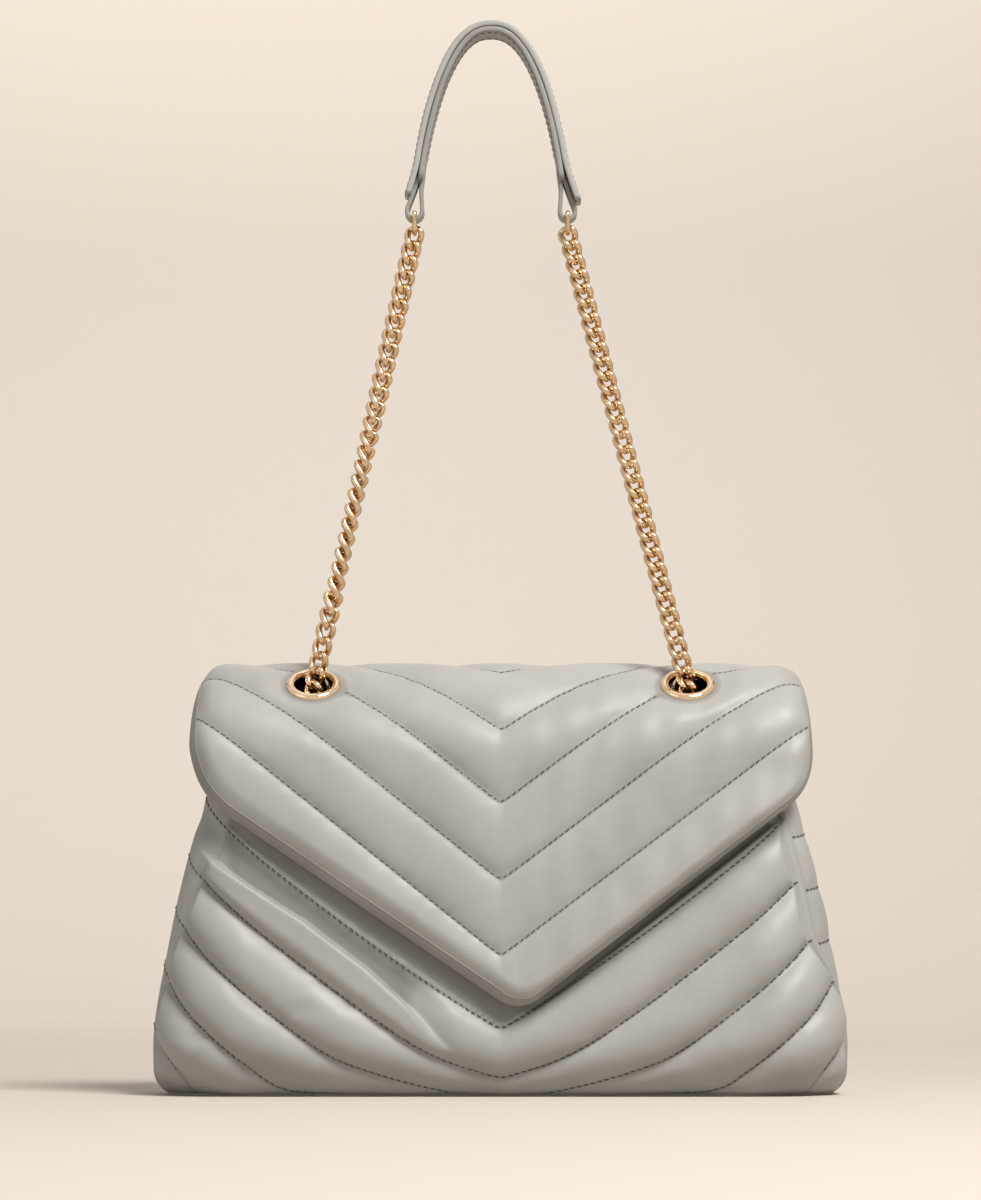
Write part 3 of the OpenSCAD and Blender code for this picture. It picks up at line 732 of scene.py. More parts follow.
def flap_flare(x, v):
    """How far the flap stands off the bag along its right edge and at its point."""
    near = 1 - smooth(np.maximum(edge_distance(x, v), 0) / FLARE_WIDTH)
    return FLARE * near * smooth((x + 12) / 40) * smooth((BEND_START - v) / 30)


def flap_point(x, v, depth):
    """Place of a point of the flap from its place across, its run and its depth below the face."""
    x, v, depth = np.broadcast_arrays(*(np.asarray(values, float) for values in (x, v, depth)))
    angle = SLOPE_ANGLE + np.clip(v - BEND_START, 0, BEND_END - BEND_START) / FLAP_R
    over_end = np.maximum(np.abs(x) - (FLAP_HALF - ROLL_R), 0) / ROLL_R
    share = 0.5 + 0.5 * np.sin(angle) ** 2
    depth = depth - flap_flare(x, v)
    depth = depth + share * ROLL_R * (1 - np.cos(over_end))
    across = np.abs(x) - ROLL_R * over_end + ROLL_R * (share * np.sin(over_end) + (1 - share) * over_end)
    r = FLAP_R - depth
    y = BEND_Y - r * np.cos(angle)
    z = BEND_Z + r * np.sin(angle)
    down = np.maximum(BEND_START - v, 0) / math.cos(SLOPE_ANGLE)
    y = y - down * math.sin(SLOPE_ANGLE)
    z = z - down * math.cos(SLOPE_ANGLE)
    lap = np.maximum(v - BEND_END, 0)
    y = y + lap * math.sin(SLOPE_ANGLE)
    z = z - lap * math.cos(SLOPE_ANGLE)
    return np.stack([np.sign(x) * across, y, z], -1)


# Grommets: where their rims sit on the bend of the flap

GROMMET_ANGLE = math.radians(54)
GROMMET_OUT = (0.0, -math.cos(GROMMET_ANGLE), math.sin(GROMMET_ANGLE))
GROMMET_X = 88.5
RIM_R = 13.0
BORE_R = 8.7
# Room between the bore and the edge of the leather round it
BARREL_ROOM = 2.2
SEAT_R = math.sqrt(FLAP_R ** 2 - RIM_R ** 2)
GROMMET_V = BEND_START + FLAP_R * (GROMMET_ANGLE - SLOPE_ANGLE)


def grommet_place(side):
    """Middle of a grommet's rim seat."""
    return (side * GROMMET_X, BEND_Y - SEAT_R * math.cos(GROMMET_ANGLE),
            BEND_Z + SEAT_R * math.sin(GROMMET_ANGLE))


def punch_grommets(made):
    """Cuts the holes for both grommets."""
    for side in (-1, 1):
        punch(made, grommet_place(side), GROMMET_OUT, BORE_R + BARREL_ROOM)


def grommet_blend(x, v):
    """How far a place is drawn to a grommet's seat, 1 under the rim, the depth of the seat, and
    the distance from the grommet's middle."""
    gap_x = np.abs(x) - GROMMET_X
    gap_v = v - GROMMET_V
    off = np.hypot(gap_x, gap_v)
    pull = 1 - smooth((off - RIM_R) / 13)
    held = np.minimum(1, RIM_R / np.maximum(off, 1e-6))
    seat = FLAP_R - SEAT_R / np.cos(gap_v * held / FLAP_R)
    return pull, seat, off


def flap_relief(x, v, e):
    """Depth of the quilted face below the plain bend, and how high the padding stands there."""
    level = flap_chevron(x, v)
    puff = puffed(level, FLAP_SEAMS, 0.93, np.minimum(e + 4, 60))
    distance, _, _ = channels(level, FLAP_SEAMS)
    pucker = np.exp(-distance / 4.5) * ripple(x, v, 9, 5) * 0.35
    soft = ripple(x, v, 60, 7) * 0.35 + ripple(x, v, 24, 8) * 0.12
    # Faint upright waves in the right arms of the chevrons
    waves = np.sin(x / 2.8 + 2 * ripple(x, v, 80, 9))
    soft = soft + 0.26 * waves * smooth(x / 30) * smooth((70 - v) / 60)
    depth = FLAP_DROP - FLAP_RISE * puff + pucker + soft * puff
    # A crease beside each grommet
    pull, seat, _ = grommet_blend(x, v)
    beside = np.abs(x) - GROMMET_X
    crease = 0.7 * np.exp(-((v - GROMMET_V - 9 - 0.25 * beside) / 3) ** 2)
    crease = crease * smooth((np.abs(beside) - 11) / 5) * (1 - smooth((np.abs(beside) - 20) / 18))
    depth = depth + crease
    lap = smooth((v - BEND_END + 6) / 14)
    depth = depth * (1 - lap) + (FLAP_T - 2.4) * lap
    depth = depth * (1 - pull) + seat * pull
    rim = 1 - smooth((e - 0.2 * roll_width(x)) / (0.9 * roll_width(x)))
    depth = depth * (1 - rim) + 0.1 * rim + edge_roll(x, e)
    return np.minimum(depth, flap_under(e) - 0.1), puff * (1 - pull)


def roll_width(x):
    """Width over which the face turns under at the edge: broad on the left, narrow on the right."""
    return 11.0 - 6.0 * smooth((x + 6) / 30)


def edge_roll(x, e):
    """How far the face has turned under at a distance from the edge."""
    inside = np.clip(1 - e / roll_width(x), 0, 1)
    return EDGE_R * (1 - np.sqrt(1 - inside ** 2))


def flap_under(e):
    """Depth of the back of the outer leaf, which is drawn up inside the bound edge."""
    return OUTER_T - 0.5 * (1 - smooth(e / 3))


# Runs of the flap's rows, closest together at its point, and shares of its half width
tip_rows = [0.0, 0.15, 0.4, 0.8, 1.3, 1.9, 2.6, 3.4, 4.4, 5.5]
flap_rows = np.concatenate([POINT_V + np.array(tip_rows),
                            np.arange(POINT_V + 6.8, BEND_END + LAP - 0.4, 1.35),
                            [BEND_END + LAP]])
flap_columns = np.sin(np.linspace(-1, 1, 271) * 0.45 * math.pi) / math.sin(0.45 * math.pi)


def flap_places(inset=0.0):
    """Places across and runs of the flap's grid."""
    v = np.maximum(flap_rows[:, None] + 0 * flap_columns[None], POINT_V + inset)
    half = flap_half_width(v - inset * 0.6, flap_columns[None] < 0) - inset
    return np.maximum(half, 0.02) * flap_columns[None] + flap_skew(v), v


def flap_blend(made):
    """Bakes the placing of a piece of the flap into its mesh."""
    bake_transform(made)


def build_flap():
    """Quilted outer leaf of the flap and its stitches."""
    x, v = flap_places()
    e = edge_distance(x, v)
    face, puff = flap_relief(x, v, e)
    outer = flap_point(x, v, face)
    inner = flap_point(x, v, flap_under(e))
    made = shell("flap_outer_leather", outer, inner, quilted, "quilted_leather", "flap_outer", None)
    add_crest(made, outer, puff)
    punch_grommets(made)
    flap_blend(made)

    normals = -grid_normals(outer)
    _, _, off = grommet_blend(x, v)
    keep = (e > 3.4) & (off > RIM_R + 1.5) & (v < BEND_END)
    rows = seam_rows(outer, normals, flap_chevron(x, v), FLAP_SEAMS, keep)
    # Row that sews the flap to the back of the bag
    lap_row = np.argmin(np.abs(flap_rows - (BEND_END + LAP - 3.5)))
    rows.append((outer[lap_row, 8:-8], normals[lap_row, 8:-8]))
    flap_blend(stitches("flap_stitches", rows, "quilted_leather"))


def build_flap_lining():
    """Lining leaf of the flap, a little smaller than the outer one."""
    x, v = flap_places(2.4)
    outer = flap_point(x, v, OUTER_T + 0.05)
    inner = flap_point(x, v, FLAP_T - 0.05 - 0.12 * np.abs(ripple(x, v, 30, 15)))
    made = shell("flap_lining_leather", outer, inner, inner_leather, "lining_leather",
                 "flap_lining", None)
    punch_grommets(made)
    punch(made, middle_of("snap_stud"), (0, -1, LEAN), SNAP_R)
    flap_blend(made)


def build_bound_edge():
    """Narrow band turned round the flap's rolled edge, with a fine crease along its face."""
    line = dense_outline(1.6)
    turns = np.radians(np.linspace(38, 90, 27))
    back = np.radians(np.linspace(88, 40, 5))
    proud = 0.28 - 0.24 * np.exp(-((turns - math.radians(47)) / 0.04) ** 2)
    down = np.concatenate([EDGE_R - (EDGE_R + proud) * np.cos(turns), [7.5, 7.6, 7.55, 7.25, 7.15],
                           EDGE_R - (EDGE_R - BAND_T) * np.cos(back)])
    # At the back of the bag the band lies flat against the leaf
    fade = np.clip((END_V - line[:, 1]) / 8, 0, 1)
    rings = []
    for (x, v), (out_x, out_v), f in zip(line, outline_out(line), fade):
        wide = roll_width(x)
        inwards = np.concatenate([wide - (wide + proud) * np.sin(turns), [0.1, 1.2, 2.4, 2.6, 1.0],
                                  wide - (wide - BAND_T) * np.sin(back)])
        depth = down * f + np.clip(down, FLAP_T - 2.2, FLAP_T) * (1 - f)
        rings.append(flap_point(x - inwards * out_x, v - inwards * out_v, depth))
    faces = ring_faces(len(rings), len(down), False)
    flap_blend(make_piece("flap_bound_edge", rings, faces, edge_paint, "plain_leather", "flap_binding"))


def dense_outline(step):
    """The whole outline from the left back corner round the point to the right one."""
    whole = np.vstack([OUTLINES[-1][:0:-1] * [-1, 1], OUTLINES[1]])
    whole[:, 0] += flap_skew(whole[:, 1])
    run = lengths_along(whole)
    return at_places(np.linspace(0, run[-1], int(run[-1] / step)), run, whole)


def outline_out(line):
    """Directions square to the outline, pointing out of the leaf."""
    along = np.gradient(line, axis=0)
    along /= np.linalg.norm(along, axis=1)[:, None]
    return np.stack([along[:, 1], -along[:, 0]], 1)


def add_crest(made, outer, puff):
    """Stores how high the padding stands at each point, for the material's painted shade where it is low."""
    face = outer.reshape(-1, 3) * MM
    tree = KDTree(len(face))
    for i, point in enumerate(face):
        tree.insert(point, i)
    tree.balance()
    heights = puff.reshape(-1)
    found = [tree.find(vertex.co) for vertex in made.data.vertices]
    values = [float(heights[i]) if distance < 1e-4 else 1.0 for _, i, distance in found]
    made.data.attributes.new("crest", "FLOAT", "POINT").data.foreach_set("value", values)


# Panels of the body

# How fast the run of the leather grows where it sags under the bag, below this height
SAG = 1.625e-5
SAG_Z = 36


def material_run(z, x):
    """Run of the panel's leather at a height, longer where it sags under the bag."""
    middle = 1 - smooth((np.abs(x) - 60) / 55)
    return z - middle * SAG * np.maximum(SAG_Z - z, 0) ** 4


def panel_rows():
    """Heights of the rows of a panel, closer together where it turns under."""
    low = UNDER_Z * (1 - np.cos(np.linspace(0, math.pi / 2, 42)))
    high = np.arange(UNDER_Z + 1.15, MOUTH_Z - 2.6, 1.15)
    return np.concatenate([low, high])


PANEL_COLUMNS = 361
# How far the face drops at a seam, and how high the padding rises from there
SEAM_DROP = 3.0
PUFF_RISE = 5.7
# Dimples in the left channels: place across, height, width, length and depth
DENTS = [(-139, 129, 4, 6, 2.0), (-143, 28, 5, 4, 0.9), (-118, 14, 6, 4, 0.9), (-92, 40, 7, 4, 0.9)]

# Soft fold that crosses the channel under the flap's left edge: places across, and how far
# up the channel it lies
RIDGE_X = [-142, -130, -92, -64, -42, -28]
RIDGE_SHARE = [0.40, 0.44, 0.62, 0.61, 0.48, 0.30]
LIP_RISE = 2.0
HOLLOW_DEEP = 1.7


def ridged(puff, s, level):
    """Padding of the front panel with the fold in its channel under the flap's left edge, and
    how much the crest of the fold leans over, and the hollow above it."""
    place = (level - FLAP_LEVEL + SEAM_PITCH) / SEAM_PITCH
    ridge = np.interp(s, RIDGE_X, RIDGE_SHARE)
    there = smooth((-s - 18) / 30) * smooth((s + 156) / 30) * (place > 0) * (place < 1)
    up = np.clip(place / ridge, 0, 2)
    below = crowned(up * 2.1)
    wall = smooth((1.03 - up) / 0.16)
    lip = there * wall * smooth((up - 0.5) / 0.35)
    hollow = there * (1 - wall) * smooth((1 - place) / 0.25)
    return puff * (1 - there) + (below + 0.05) * wall * there, lip, hollow


def front_lift(lift, x, z, level, hollow, off_snap):
    """Height of the front panel's face with its dimples, pressed in under the flap."""
    for dent_x, dent_z, wide, tall, deep in DENTS:
        lift = lift - deep * np.exp(-((x - dent_x) / wide) ** 2 - ((z - dent_z) / tall) ** 2)
    lift = lift - HOLLOW_DEEP * hollow
    away = -edge_distance(x, z - BEND_Z)
    # Under the flap's right edge the leather drops into a narrow gap
    strip = -4.4 + 3.2 * smooth((away - 2.4) / 2.2) - 1.4 * np.exp(-((level - FLAP_LEVEL) / 2.2) ** 2)
    right = smooth((x - 6) / 12) * smooth((level - FLAP_LEVEL + 1) / 2)
    lift = lift * (1 - right) + strip * right
    # Nothing stands up into the flap that lies on it
    most = -0.9 + 4.9 * smooth((away - 1) / 14)
    most = np.where((z > BEND_Z - 2) & (np.abs(x) < FLAP_HALF), -0.45, most)
    near = 1 - smooth((off_snap - 10) / 8)
    return np.minimum(lift, most) * (1 - near) - 0.3 * near


def mouth_roll(ps, side):
    """Rows of the rounded edge at the mouth, on the outer and the inner face of a panel."""
    roll = (PANEL_T - 0.6) / 2
    out_rows, in_rows = [], []
    for turn in np.linspace(0, math.pi / 2, 6)[1:]:
        z = np.full_like(ps, MOUTH_Z - roll + roll * math.sin(turn))
        out_rows.append(body_grid(ps, z, roll * (1 - math.cos(turn)), side)[0])
        in_rows.append(body_grid(ps, z, roll * (1 + math.cos(turn)), side)[0])
    return out_rows, in_rows


def build_panel(node, side):
    """A quilted panel and its stitches. side is -1 in front and 1 behind."""
    zs = panel_rows()[:, None]
    c = np.linspace(-1, 1, PANEL_COLUMNS)[None]
    ends = [1 + panel_edge_turn(zs, s) for s in (-1, 1)]
    ps = np.where(c < 0, c * ends[0], c * ends[1])
    base = body_grid(ps, zs + 0 * ps, 0.0, side)
    x, z = base[..., 0], base[..., 2]
    run = lengths_along(base[..., :2])
    s = run - run[:, [PANEL_COLUMNS // 2]]
    to_edge = np.minimum(run, run[:, [-1]] - run)
    w = material_run(z, x)
    level = panel_chevron(s, w)
    margin = np.where(x > 0, 6.5, np.interp(z, [8, 45, 75, 110], [7, 13, 19, 24]))
    puff = puffed(level, PANEL_SEAMS, 0.88, 1.6 * (to_edge - margin))
    if side < 0:
        puff, lip, hollow = ridged(puff, s, level)
        puff = puff * (1 - smooth((level - FLAP_LEVEL) / 3))
    distance, _, _ = channels(level, PANEL_SEAMS)
    pucker = np.exp(-distance / 5) * ripple(s, w, 10, 21 + side) * 0.45
    soft = ripple(s, w, 70, 23 + side) * 0.7 + ripple(s, w, 26, 24 + side) * 0.3
    lift = -SEAM_DROP + PUFF_RISE * puff * (0.35 + 0.65 * smooth(z / 26)) - pucker + soft * puff
    # The channels end in a flat margin along the side seam, and flatten at the foot
    flat = 1 - smooth((to_edge - 0.5 * margin) / np.where(x > 0, margin, 0.7 * margin))
    lift = lift * (1 - flat) - 0.5 * flat
    lift = lift * (0.25 + 0.75 * smooth(z / 12))
    lift = lift - 0.8 * (1 - smooth(to_edge / 3))
    keep = (to_edge > np.where(x > 0, 5.5, 2.5)) & (z > 1.0) & (z < MOUTH_Z - 6)
    if side < 0:
        snap = middle_of("snap_socket")
        off_snap = np.hypot(x - snap[0], z - snap[2])
        lift = front_lift(lift, x, z, level, hollow, off_snap)
        keep &= off_snap > 12
    else:
        near_top = smooth((z - MOUTH_Z + 20) / 10)
        lift = lift * (1 - near_top) - 0.8 * near_top
    normals = outward_normals(base, 1, side)
    outer = base + normals * lift[..., None]
    if side < 0:
        outer[..., 2] += LIP_RISE * lip
    outer[..., 2] = np.maximum(outer[..., 2], LEAST_Z)
    rows = seam_rows(outer, normals, level, PANEL_SEAMS, keep)
    inner = body_grid(ps, zs + 0 * ps, PANEL_T - 0.6, side)
    inner[..., 2] = np.maximum(inner[..., 2], LEAST_INNER_Z)
    out_rows, in_rows = mouth_roll(ps[-1:], side)
    outer, inner = np.concatenate([outer, out_rows]), np.concatenate([inner, in_rows])
    # Low padding height paints shade in seams, in the hollow above the fold and under the flap's edge; the
    # flat margins get none
    crest = np.concatenate([np.maximum(puff, flat), [puff[-1]] * len(out_rows)])
    made = shell(node + "_leather", outer, inner, quilted, "quilted_leather", node)
    add_crest(made, outer, crest)
    if side < 0:
        punch(made, snap, (0, -1, LEAN), SNAP_R)
    stitches(node + "_stitches", rows, "quilted_leather", "bag")


GUSSET_T = 3.6
GUSSET_RISE = 1.1
GUSSET_SEAMS = [21 + 25 * k for k in range(-2, 8)]


def build_gusset(node, side_x):
    """A soft side: quilted crosswise and folded inwards towards the mouth."""
    zs = np.concatenate([panel_rows(), [MOUTH_Z - 2]])[:, None]
    base = side_grid(1 + panel_edge_turn(zs, side_x) - 0.03, zs, 81, side_x, 0.8)
    z = base[..., 2]
    run = lengths_along(base[..., :2])
    to_edge = np.minimum(run, run[:, [-1]] - run)
    level = z - 0.12 * to_edge
    puff = puffed(level, GUSSET_SEAMS, 0.9, to_edge - 1.5)
    soft = ripple(run, z, 40, 31 + side_x) * 0.5
    lift = (GUSSET_RISE * (puff - 1) + soft * puff) * (0.3 + 0.7 * smooth(z / 14))
    normals = outward_normals(base, 0, side_x)
    outer = base + normals * lift[..., None]
    outer[..., 2] = np.maximum(outer[..., 2], LEAST_Z)
    inner = base - normals * GUSSET_T
    inner[..., 2] = np.maximum(inner[..., 2], LEAST_INNER_Z)
    made = shell(node + "_leather", outer, inner, quilted, "plain_leather", node)
    add_crest(made, outer, puff)
    rows = seam_rows(outer, normals, level, GUSSET_SEAMS, (to_edge > 1.5) & (z > 4))
    stitches(node + "_stitches", rows, "plain_leather", "bag")


def flat_grid(z, inset, columns, rows, outline_z):
    """Points of a level sheet with the body's outline at another height, and shares of its depth."""
    p = np.linspace(-2, 2, columns)
    x, y = body_section(np.abs(p), np.full_like(p, outline_z), inset, 0)
    share = np.linspace(-1, 1, rows)[:, None]
    return np.stack([np.sign(p) * x + 0 * share, MID_Y + share * y, z + 0 * share * x], -1), share


def build_base():
    """Bottom panel and the board that lies on it."""
    for name, node, inset, low, thick, material, slot in (
            ("base_leather", "base_panel", -0.6, 0.0, 2.4, plain, "plain_leather"),
            ("base_board_card", "base_board", 7.0, 3.2, 1.8, board_card, "base_board")):
        outer, share = flat_grid(low + 0.1, inset, 181, 41, 0.4)
        inner = outer.copy()
        outer[..., 2] += 0.25 * (1 - share ** 2) * np.abs(ripple(outer[..., 0], outer[..., 1], 50, 41))
        inner[..., 2] = low + thick * (1 - 0.6 * np.abs(share) ** 8)
        shell(name, outer, inner, material, slot, node)


def build_linings():
    """Cloth lining of the front, back, sides and base, and the leather facings of the mouth."""
    low, high = 4.6, MOUTH_Z - 1.5
    zs = np.concatenate([low + (UNDER_Z - low) * (1 - np.cos(np.linspace(0, math.pi / 2, 16))),
                         np.arange(UNDER_Z + 4, high, 4), [high]])[:, None]
    for node, side in (("lining_front", -1), ("lining_back", 1)):
        ps = np.linspace(-1.6, 1.6, 97)[None] + 0 * zs
        z = zs + 0 * ps
        wave = 0.35 * ripple(ps * 80, z, 45, 51 + side) * smooth((np.abs(ps * 110) - 100) / 20)
        outer = body_grid(ps, z, LINING_IN + 0.35 + wave, side)
        inner = body_grid(ps, z, LINING_IN, side)
        made = shell(node + "_cloth", outer, inner, lining_cloth, "lining_cloth", node)
        if side > 0:
            cut_slot(made)
    for node, side_x in (("lining_left", -1), ("lining_right", 1)):
        outer, inner = (side_grid(1.5, zs, 41, side_x, LINING_IN + more) for more in (1.0, 0.5))
        shell(node + "_cloth", outer, inner, lining_cloth, "lining_cloth", node)
    low, _ = flat_grid(5.3, LINING_IN, 121, 25, 5.4)
    low[..., 2] += 0.3 * ripple(low[..., 0], low[..., 1] - MID_Y, 40, 57)
    shell("lining_base_cloth", low, low + [0, 0, 0.7], lining_cloth, "lining_cloth", "lining_base")
    # Facings: a strip of leather along each lip
    low, high = MOUTH_Z - 20.0, MOUTH_Z - 1.2
    for node, side in (("facing_front", -1), ("facing_back", 1)):
        ps = np.linspace(-1.58, 1.58, 121)[None] + np.zeros((14, 1))
        z = np.linspace(low, high, 14)[:, None] + 0 * ps
        soft = 0.15 * ripple(ps * 100, z, 30, 61 + side)
        t = np.clip(np.minimum(z - low, high - z) / 1.2, 0, 1)
        bulge = 1.1 * np.sqrt(1 - (1 - t) ** 2)
        outer = body_grid(ps, z, 6.9 + bulge + soft * t, side)
        inner = body_grid(ps, z, 6.8, side)
        shell(node + "_leather", outer, inner, inner_leather, "lining_leather", node)
        row = outer[3]
        normals = np.tile([0.0, -side, 0.0], (len(row), 1))
        stitches(node + "_stitches", [(row, normals)], "lining_leather", "bag")


def cut_slot(made):
    """Cuts the zip's slot through the back lining."""
    low, high = box_of("zip_tape")
    size = Vector((high[0] - low[0], 20, high[2] - low[2])) * MM
    centre = Vector((low + high) / 2) * MM
    work = bmesh.new()
    bmesh.ops.create_cube(work, size=1)
    for vertex in work.verts:
        vertex.co = Vector(a * b for a, b in zip(vertex.co, size)) + centre
    cutter = bpy.data.objects.new("slot_cutter", bpy.data.meshes.new("slot_cutter"))
    work.to_mesh(cutter.data)
    work.free()
    bpy.context.scene.collection.objects.link(cutter)
    change = made.modifiers.new("slot", "BOOLEAN")
    change.operation = "DIFFERENCE"
    change.object = cutter
    graph = bpy.context.evaluated_depsgraph_get()
    result = bpy.data.meshes.new_from_object(made.evaluated_get(graph))
    made.modifiers.clear()
    made.data = result
    bpy.data.objects.remove(cutter)


# Chain

# Reach of a link's middle line from its middle: across, through and along
LINK_REACH = (3.15, 2.5, 5.05)


def curb_link_path(steps=36):
    """Middle line of one curb link, standing along Z."""
    t = circle(steps)
    across, through, along = LINK_REACH
    return np.stack([across * np.cos(t), -through * np.sin(2 * t), along * np.sin(t)], 1)


def loose_parts(node):
    """Points of each separate solid of a CAD node, in millimetres."""
    mesh = nodes[node].data
    points = np.array([v.co for v in mesh.vertices], float) / MM
    keys = np.round(points, 3)
    _, merged = np.unique(keys, axis=0, return_inverse=True)
    merged = merged.reshape(-1)
    parent = list(range(merged.max() + 1))

    def root(i):
        while parent[i] != i:
            parent[i] = parent[parent[i]]
            i = parent[i]
        return i

    for edge in mesh.edges:
        a, b = root(merged[edge.vertices[0]]), root(merged[edge.vertices[1]])
        if a != b:
            parent[a] = b
    groups = {}
    for i, m in enumerate(merged):
        groups.setdefault(root(m), []).append(i)
    return [np.unique(keys[g], axis=0) for g in groups.values()]


LINK_PATH = curb_link_path()
# The wire is pressed wider along the sides of a link, and slim at its ends beside a joint
LINK_SIDE_R = 1.6
LINK_END_R = {"usual": 1.36, "slim": 0.95}
LINK_BROAD = (LINK_PATH[:, 0] / LINK_REACH[0]) ** 2
LINKS = {kind: wire_loop(LINK_PATH, end_r + (LINK_SIDE_R - end_r) * LINK_BROAD, 12, (0, 1, 0))
         for kind, end_r in LINK_END_R.items()}
# Links nearer than this to the height of a joint are slim
BESIDE_JOINT = 13.0
BEND_HEIGHTS = [joints[name]["pos_m"][2] / MM
                for name in ("strap_fold", "strap_fold_2", "chain_bend", "chain_bend_2")]
# Heights and turns in degrees: each run of the chain twists slowly about its own length
TWISTS = {-1: ([208, 222, 240, 285, 335, 420], [0, 30, 84, 84, 40, 12]),
          1: ([192, 220, 260, 420], [0, 0, 8, 18])}


def link_frame(points):
    """Middle and directions of a link: its width, its depth and its length."""
    middle = points.mean(0)
    _, axes = np.linalg.eigh(np.cov((points - middle).T))
    along = axes[:, 2] * np.sign(axes[2, 2] + 1e-6 * axes[0, 2])
    across = axes[:, 1] * np.sign(axes[0, 1] + 1e-6 * axes[2, 1])
    through = np.cross(along, across)
    return middle, across, through, along


def build_chain(name, node, body):
    """Smooth curb links, each in the place of a CAD link."""
    parts = []
    for points in loose_parts(node):
        middle, across, through, along = link_frame(points)
        twist = math.radians(np.interp(middle[2], *TWISTS[-1 if middle[0] < 0 else 1]))
        turned_across = across * math.cos(twist) + through * math.sin(twist)
        turned_through = through * math.cos(twist) - across * math.sin(twist)
        gap = min(abs(middle[2] - height) for height in BEND_HEIGHTS)
        shape, faces = LINKS["slim" if gap < BESIDE_JOINT else "usual"]
        parts.append((shape @ np.array([turned_across, turned_through, along]) + middle, faces))
    make_piece(name, *joined(parts), gold, "gold_metal", node, body, False)


# Grommets, rings and pad


def lathe(profile, place, out, steps=72):
    """Points and faces of a profile of radius and height turned round an axis."""
    out = np.array(out, float)
    across = np.array([1.0, 0.0, 0.0])
    turn = circle(steps)
    ring = np.outer(np.cos(turn), across) + np.outer(np.sin(turn), np.cross(out, across))
    rings = [np.array(place) + height * out + radius * ring for radius, height in profile]
    return np.vstack(rings), ring_faces(len(rings), steps, True)


def build_grommets():
    """Polished eyelets: a rounded rim over a barrel, and the washer inside."""
    washer_low = FLAP_R - FLAP_T
    barrel = SEAT_R - (math.sqrt(washer_low ** 2 - RIM_R ** 2) - 1.0)
    middle = (BORE_R + RIM_R) / 2
    wide = (RIM_R - BORE_R) / 2
    rim = [(middle + wide * math.cos(a), 1.95 * math.sin(a)) for a in np.linspace(0, math.pi, 19)]
    wall = [(BORE_R, -barrel - 0.75), (BORE_R + 0.3, -barrel - 0.95), (BORE_R + 1.7, -barrel - 0.8),
            (BORE_R + 1.7, -barrel - 0.05), (BORE_R + 1.0, -barrel - 0.05), (BORE_R + 1.0, -0.06),
            (RIM_R, -0.06)]
    washer = [(RIM_R - 0.3, -barrel + 0.95), (RIM_R, -barrel + 0.7), (RIM_R, -barrel + 0.3),
              (RIM_R - 0.3, -barrel), (BORE_R + 1.1, -barrel), (BORE_R + 1.1, -barrel + 0.95)]
    for side, word in ((-1, "left"), (1, "right")):
        place = grommet_place(side)
        make_piece("grommet_eyelet_" + word, *lathe(rim + wall, place, GROMMET_OUT), rim_gold,
                   "gold_metal", "grommet_" + word, "flap")
        make_piece("grommet_ring_" + word, *lathe(washer, place, GROMMET_OUT), gold,
                   "gold_metal", "grommet_washer_" + word, "flap")


RING_WIRE_R = 1.1
ring_boxes = {word: box_of("ring_" + word) for word in ("left", "right")}
STRAP_Y = joints["pad_tilt"]["pos_m"][1] / MM
ring_low, ring_high = ring_boxes["left"]
RING_TOP = ring_high[2] - RING_WIRE_R
RING_DROP = ring_high[2] - ring_low[2] - 2 * RING_WIRE_R
RING_HALF = (ring_high[1] - ring_low[1]) / 2 - RING_WIRE_R
ring_x = {word: (low[0] + high[0]) / 2 for word, (low, high) in ring_boxes.items()}


def build_rings():
    """Half-round rings between the pad and the chain."""
    bow = [(-RING_HALF * math.cos(a), -RING_DROP * math.sin(a)) for a in np.linspace(0, math.pi, 33)]
    bar = [(RING_HALF * (1 - 2 * t), 0.0) for t in np.linspace(0, 1, 13)[1:-1]]
    for word in ("left", "right"):
        path = np.array([(ring_x[word], STRAP_Y + y, RING_TOP + z) for y, z in bow + bar])
        make_piece("strap_ring_" + word, *wire_loop(path, RING_WIRE_R, 14, (1, 0, 0)), gold,
                   "gold_metal", "ring_" + word, "pad", False)


PAD_X = (ring_x["left"] + ring_x["right"]) / 2
PAD_HALF = (ring_x["right"] - ring_x["left"]) / 2
cover_low, cover_high = box_of("pad_cover")
PAD_LAYER = 3.3
PAD_BASE = RING_TOP + 1.2
PAD_RISE = cover_high[2] - PAD_LAYER - PAD_BASE
PAD_W = (cover_high[1] - cover_low[1]) / 2
ARCH_ANGLES = np.radians(np.linspace(0.5, 179.5, 1433))


def arch_line():
    """The pad's arch, whose legs are straighter than those of a plain oval."""
    sine = np.sin(ARCH_ANGLES)
    oval = np.abs(np.cos(ARCH_ANGLES))
    pointed = (1 - sine ** 1.2) ** 0.41
    x = PAD_HALF * np.sign(np.cos(ARCH_ANGLES)) * (0.25 * oval + 0.75 * pointed)
    return rounded(x, 60), PAD_RISE * sine


ARCH_X, ARCH_Z = arch_line()
ARCH_SLOPE = np.stack([np.gradient(ARCH_Z), -np.gradient(ARCH_X)], 1)
ARCH_SLOPE /= np.linalg.norm(ARCH_SLOPE, axis=1)[:, None]


def arch(angle, out):
    """Place on the pad's arch, and its outward direction, at an angle and an offset."""
    x, z, nx, nz = (np.interp(angle, ARCH_ANGLES, line)
                    for line in (ARCH_X, ARCH_Z, ARCH_SLOPE[:, 0], ARCH_SLOPE[:, 1]))
    place = np.stack([PAD_X + x + out * nx, STRAP_Y + 0 * x, PAD_BASE + z + out * nz], -1)
    return place, np.stack([nx, 0 * nx, nz], -1)


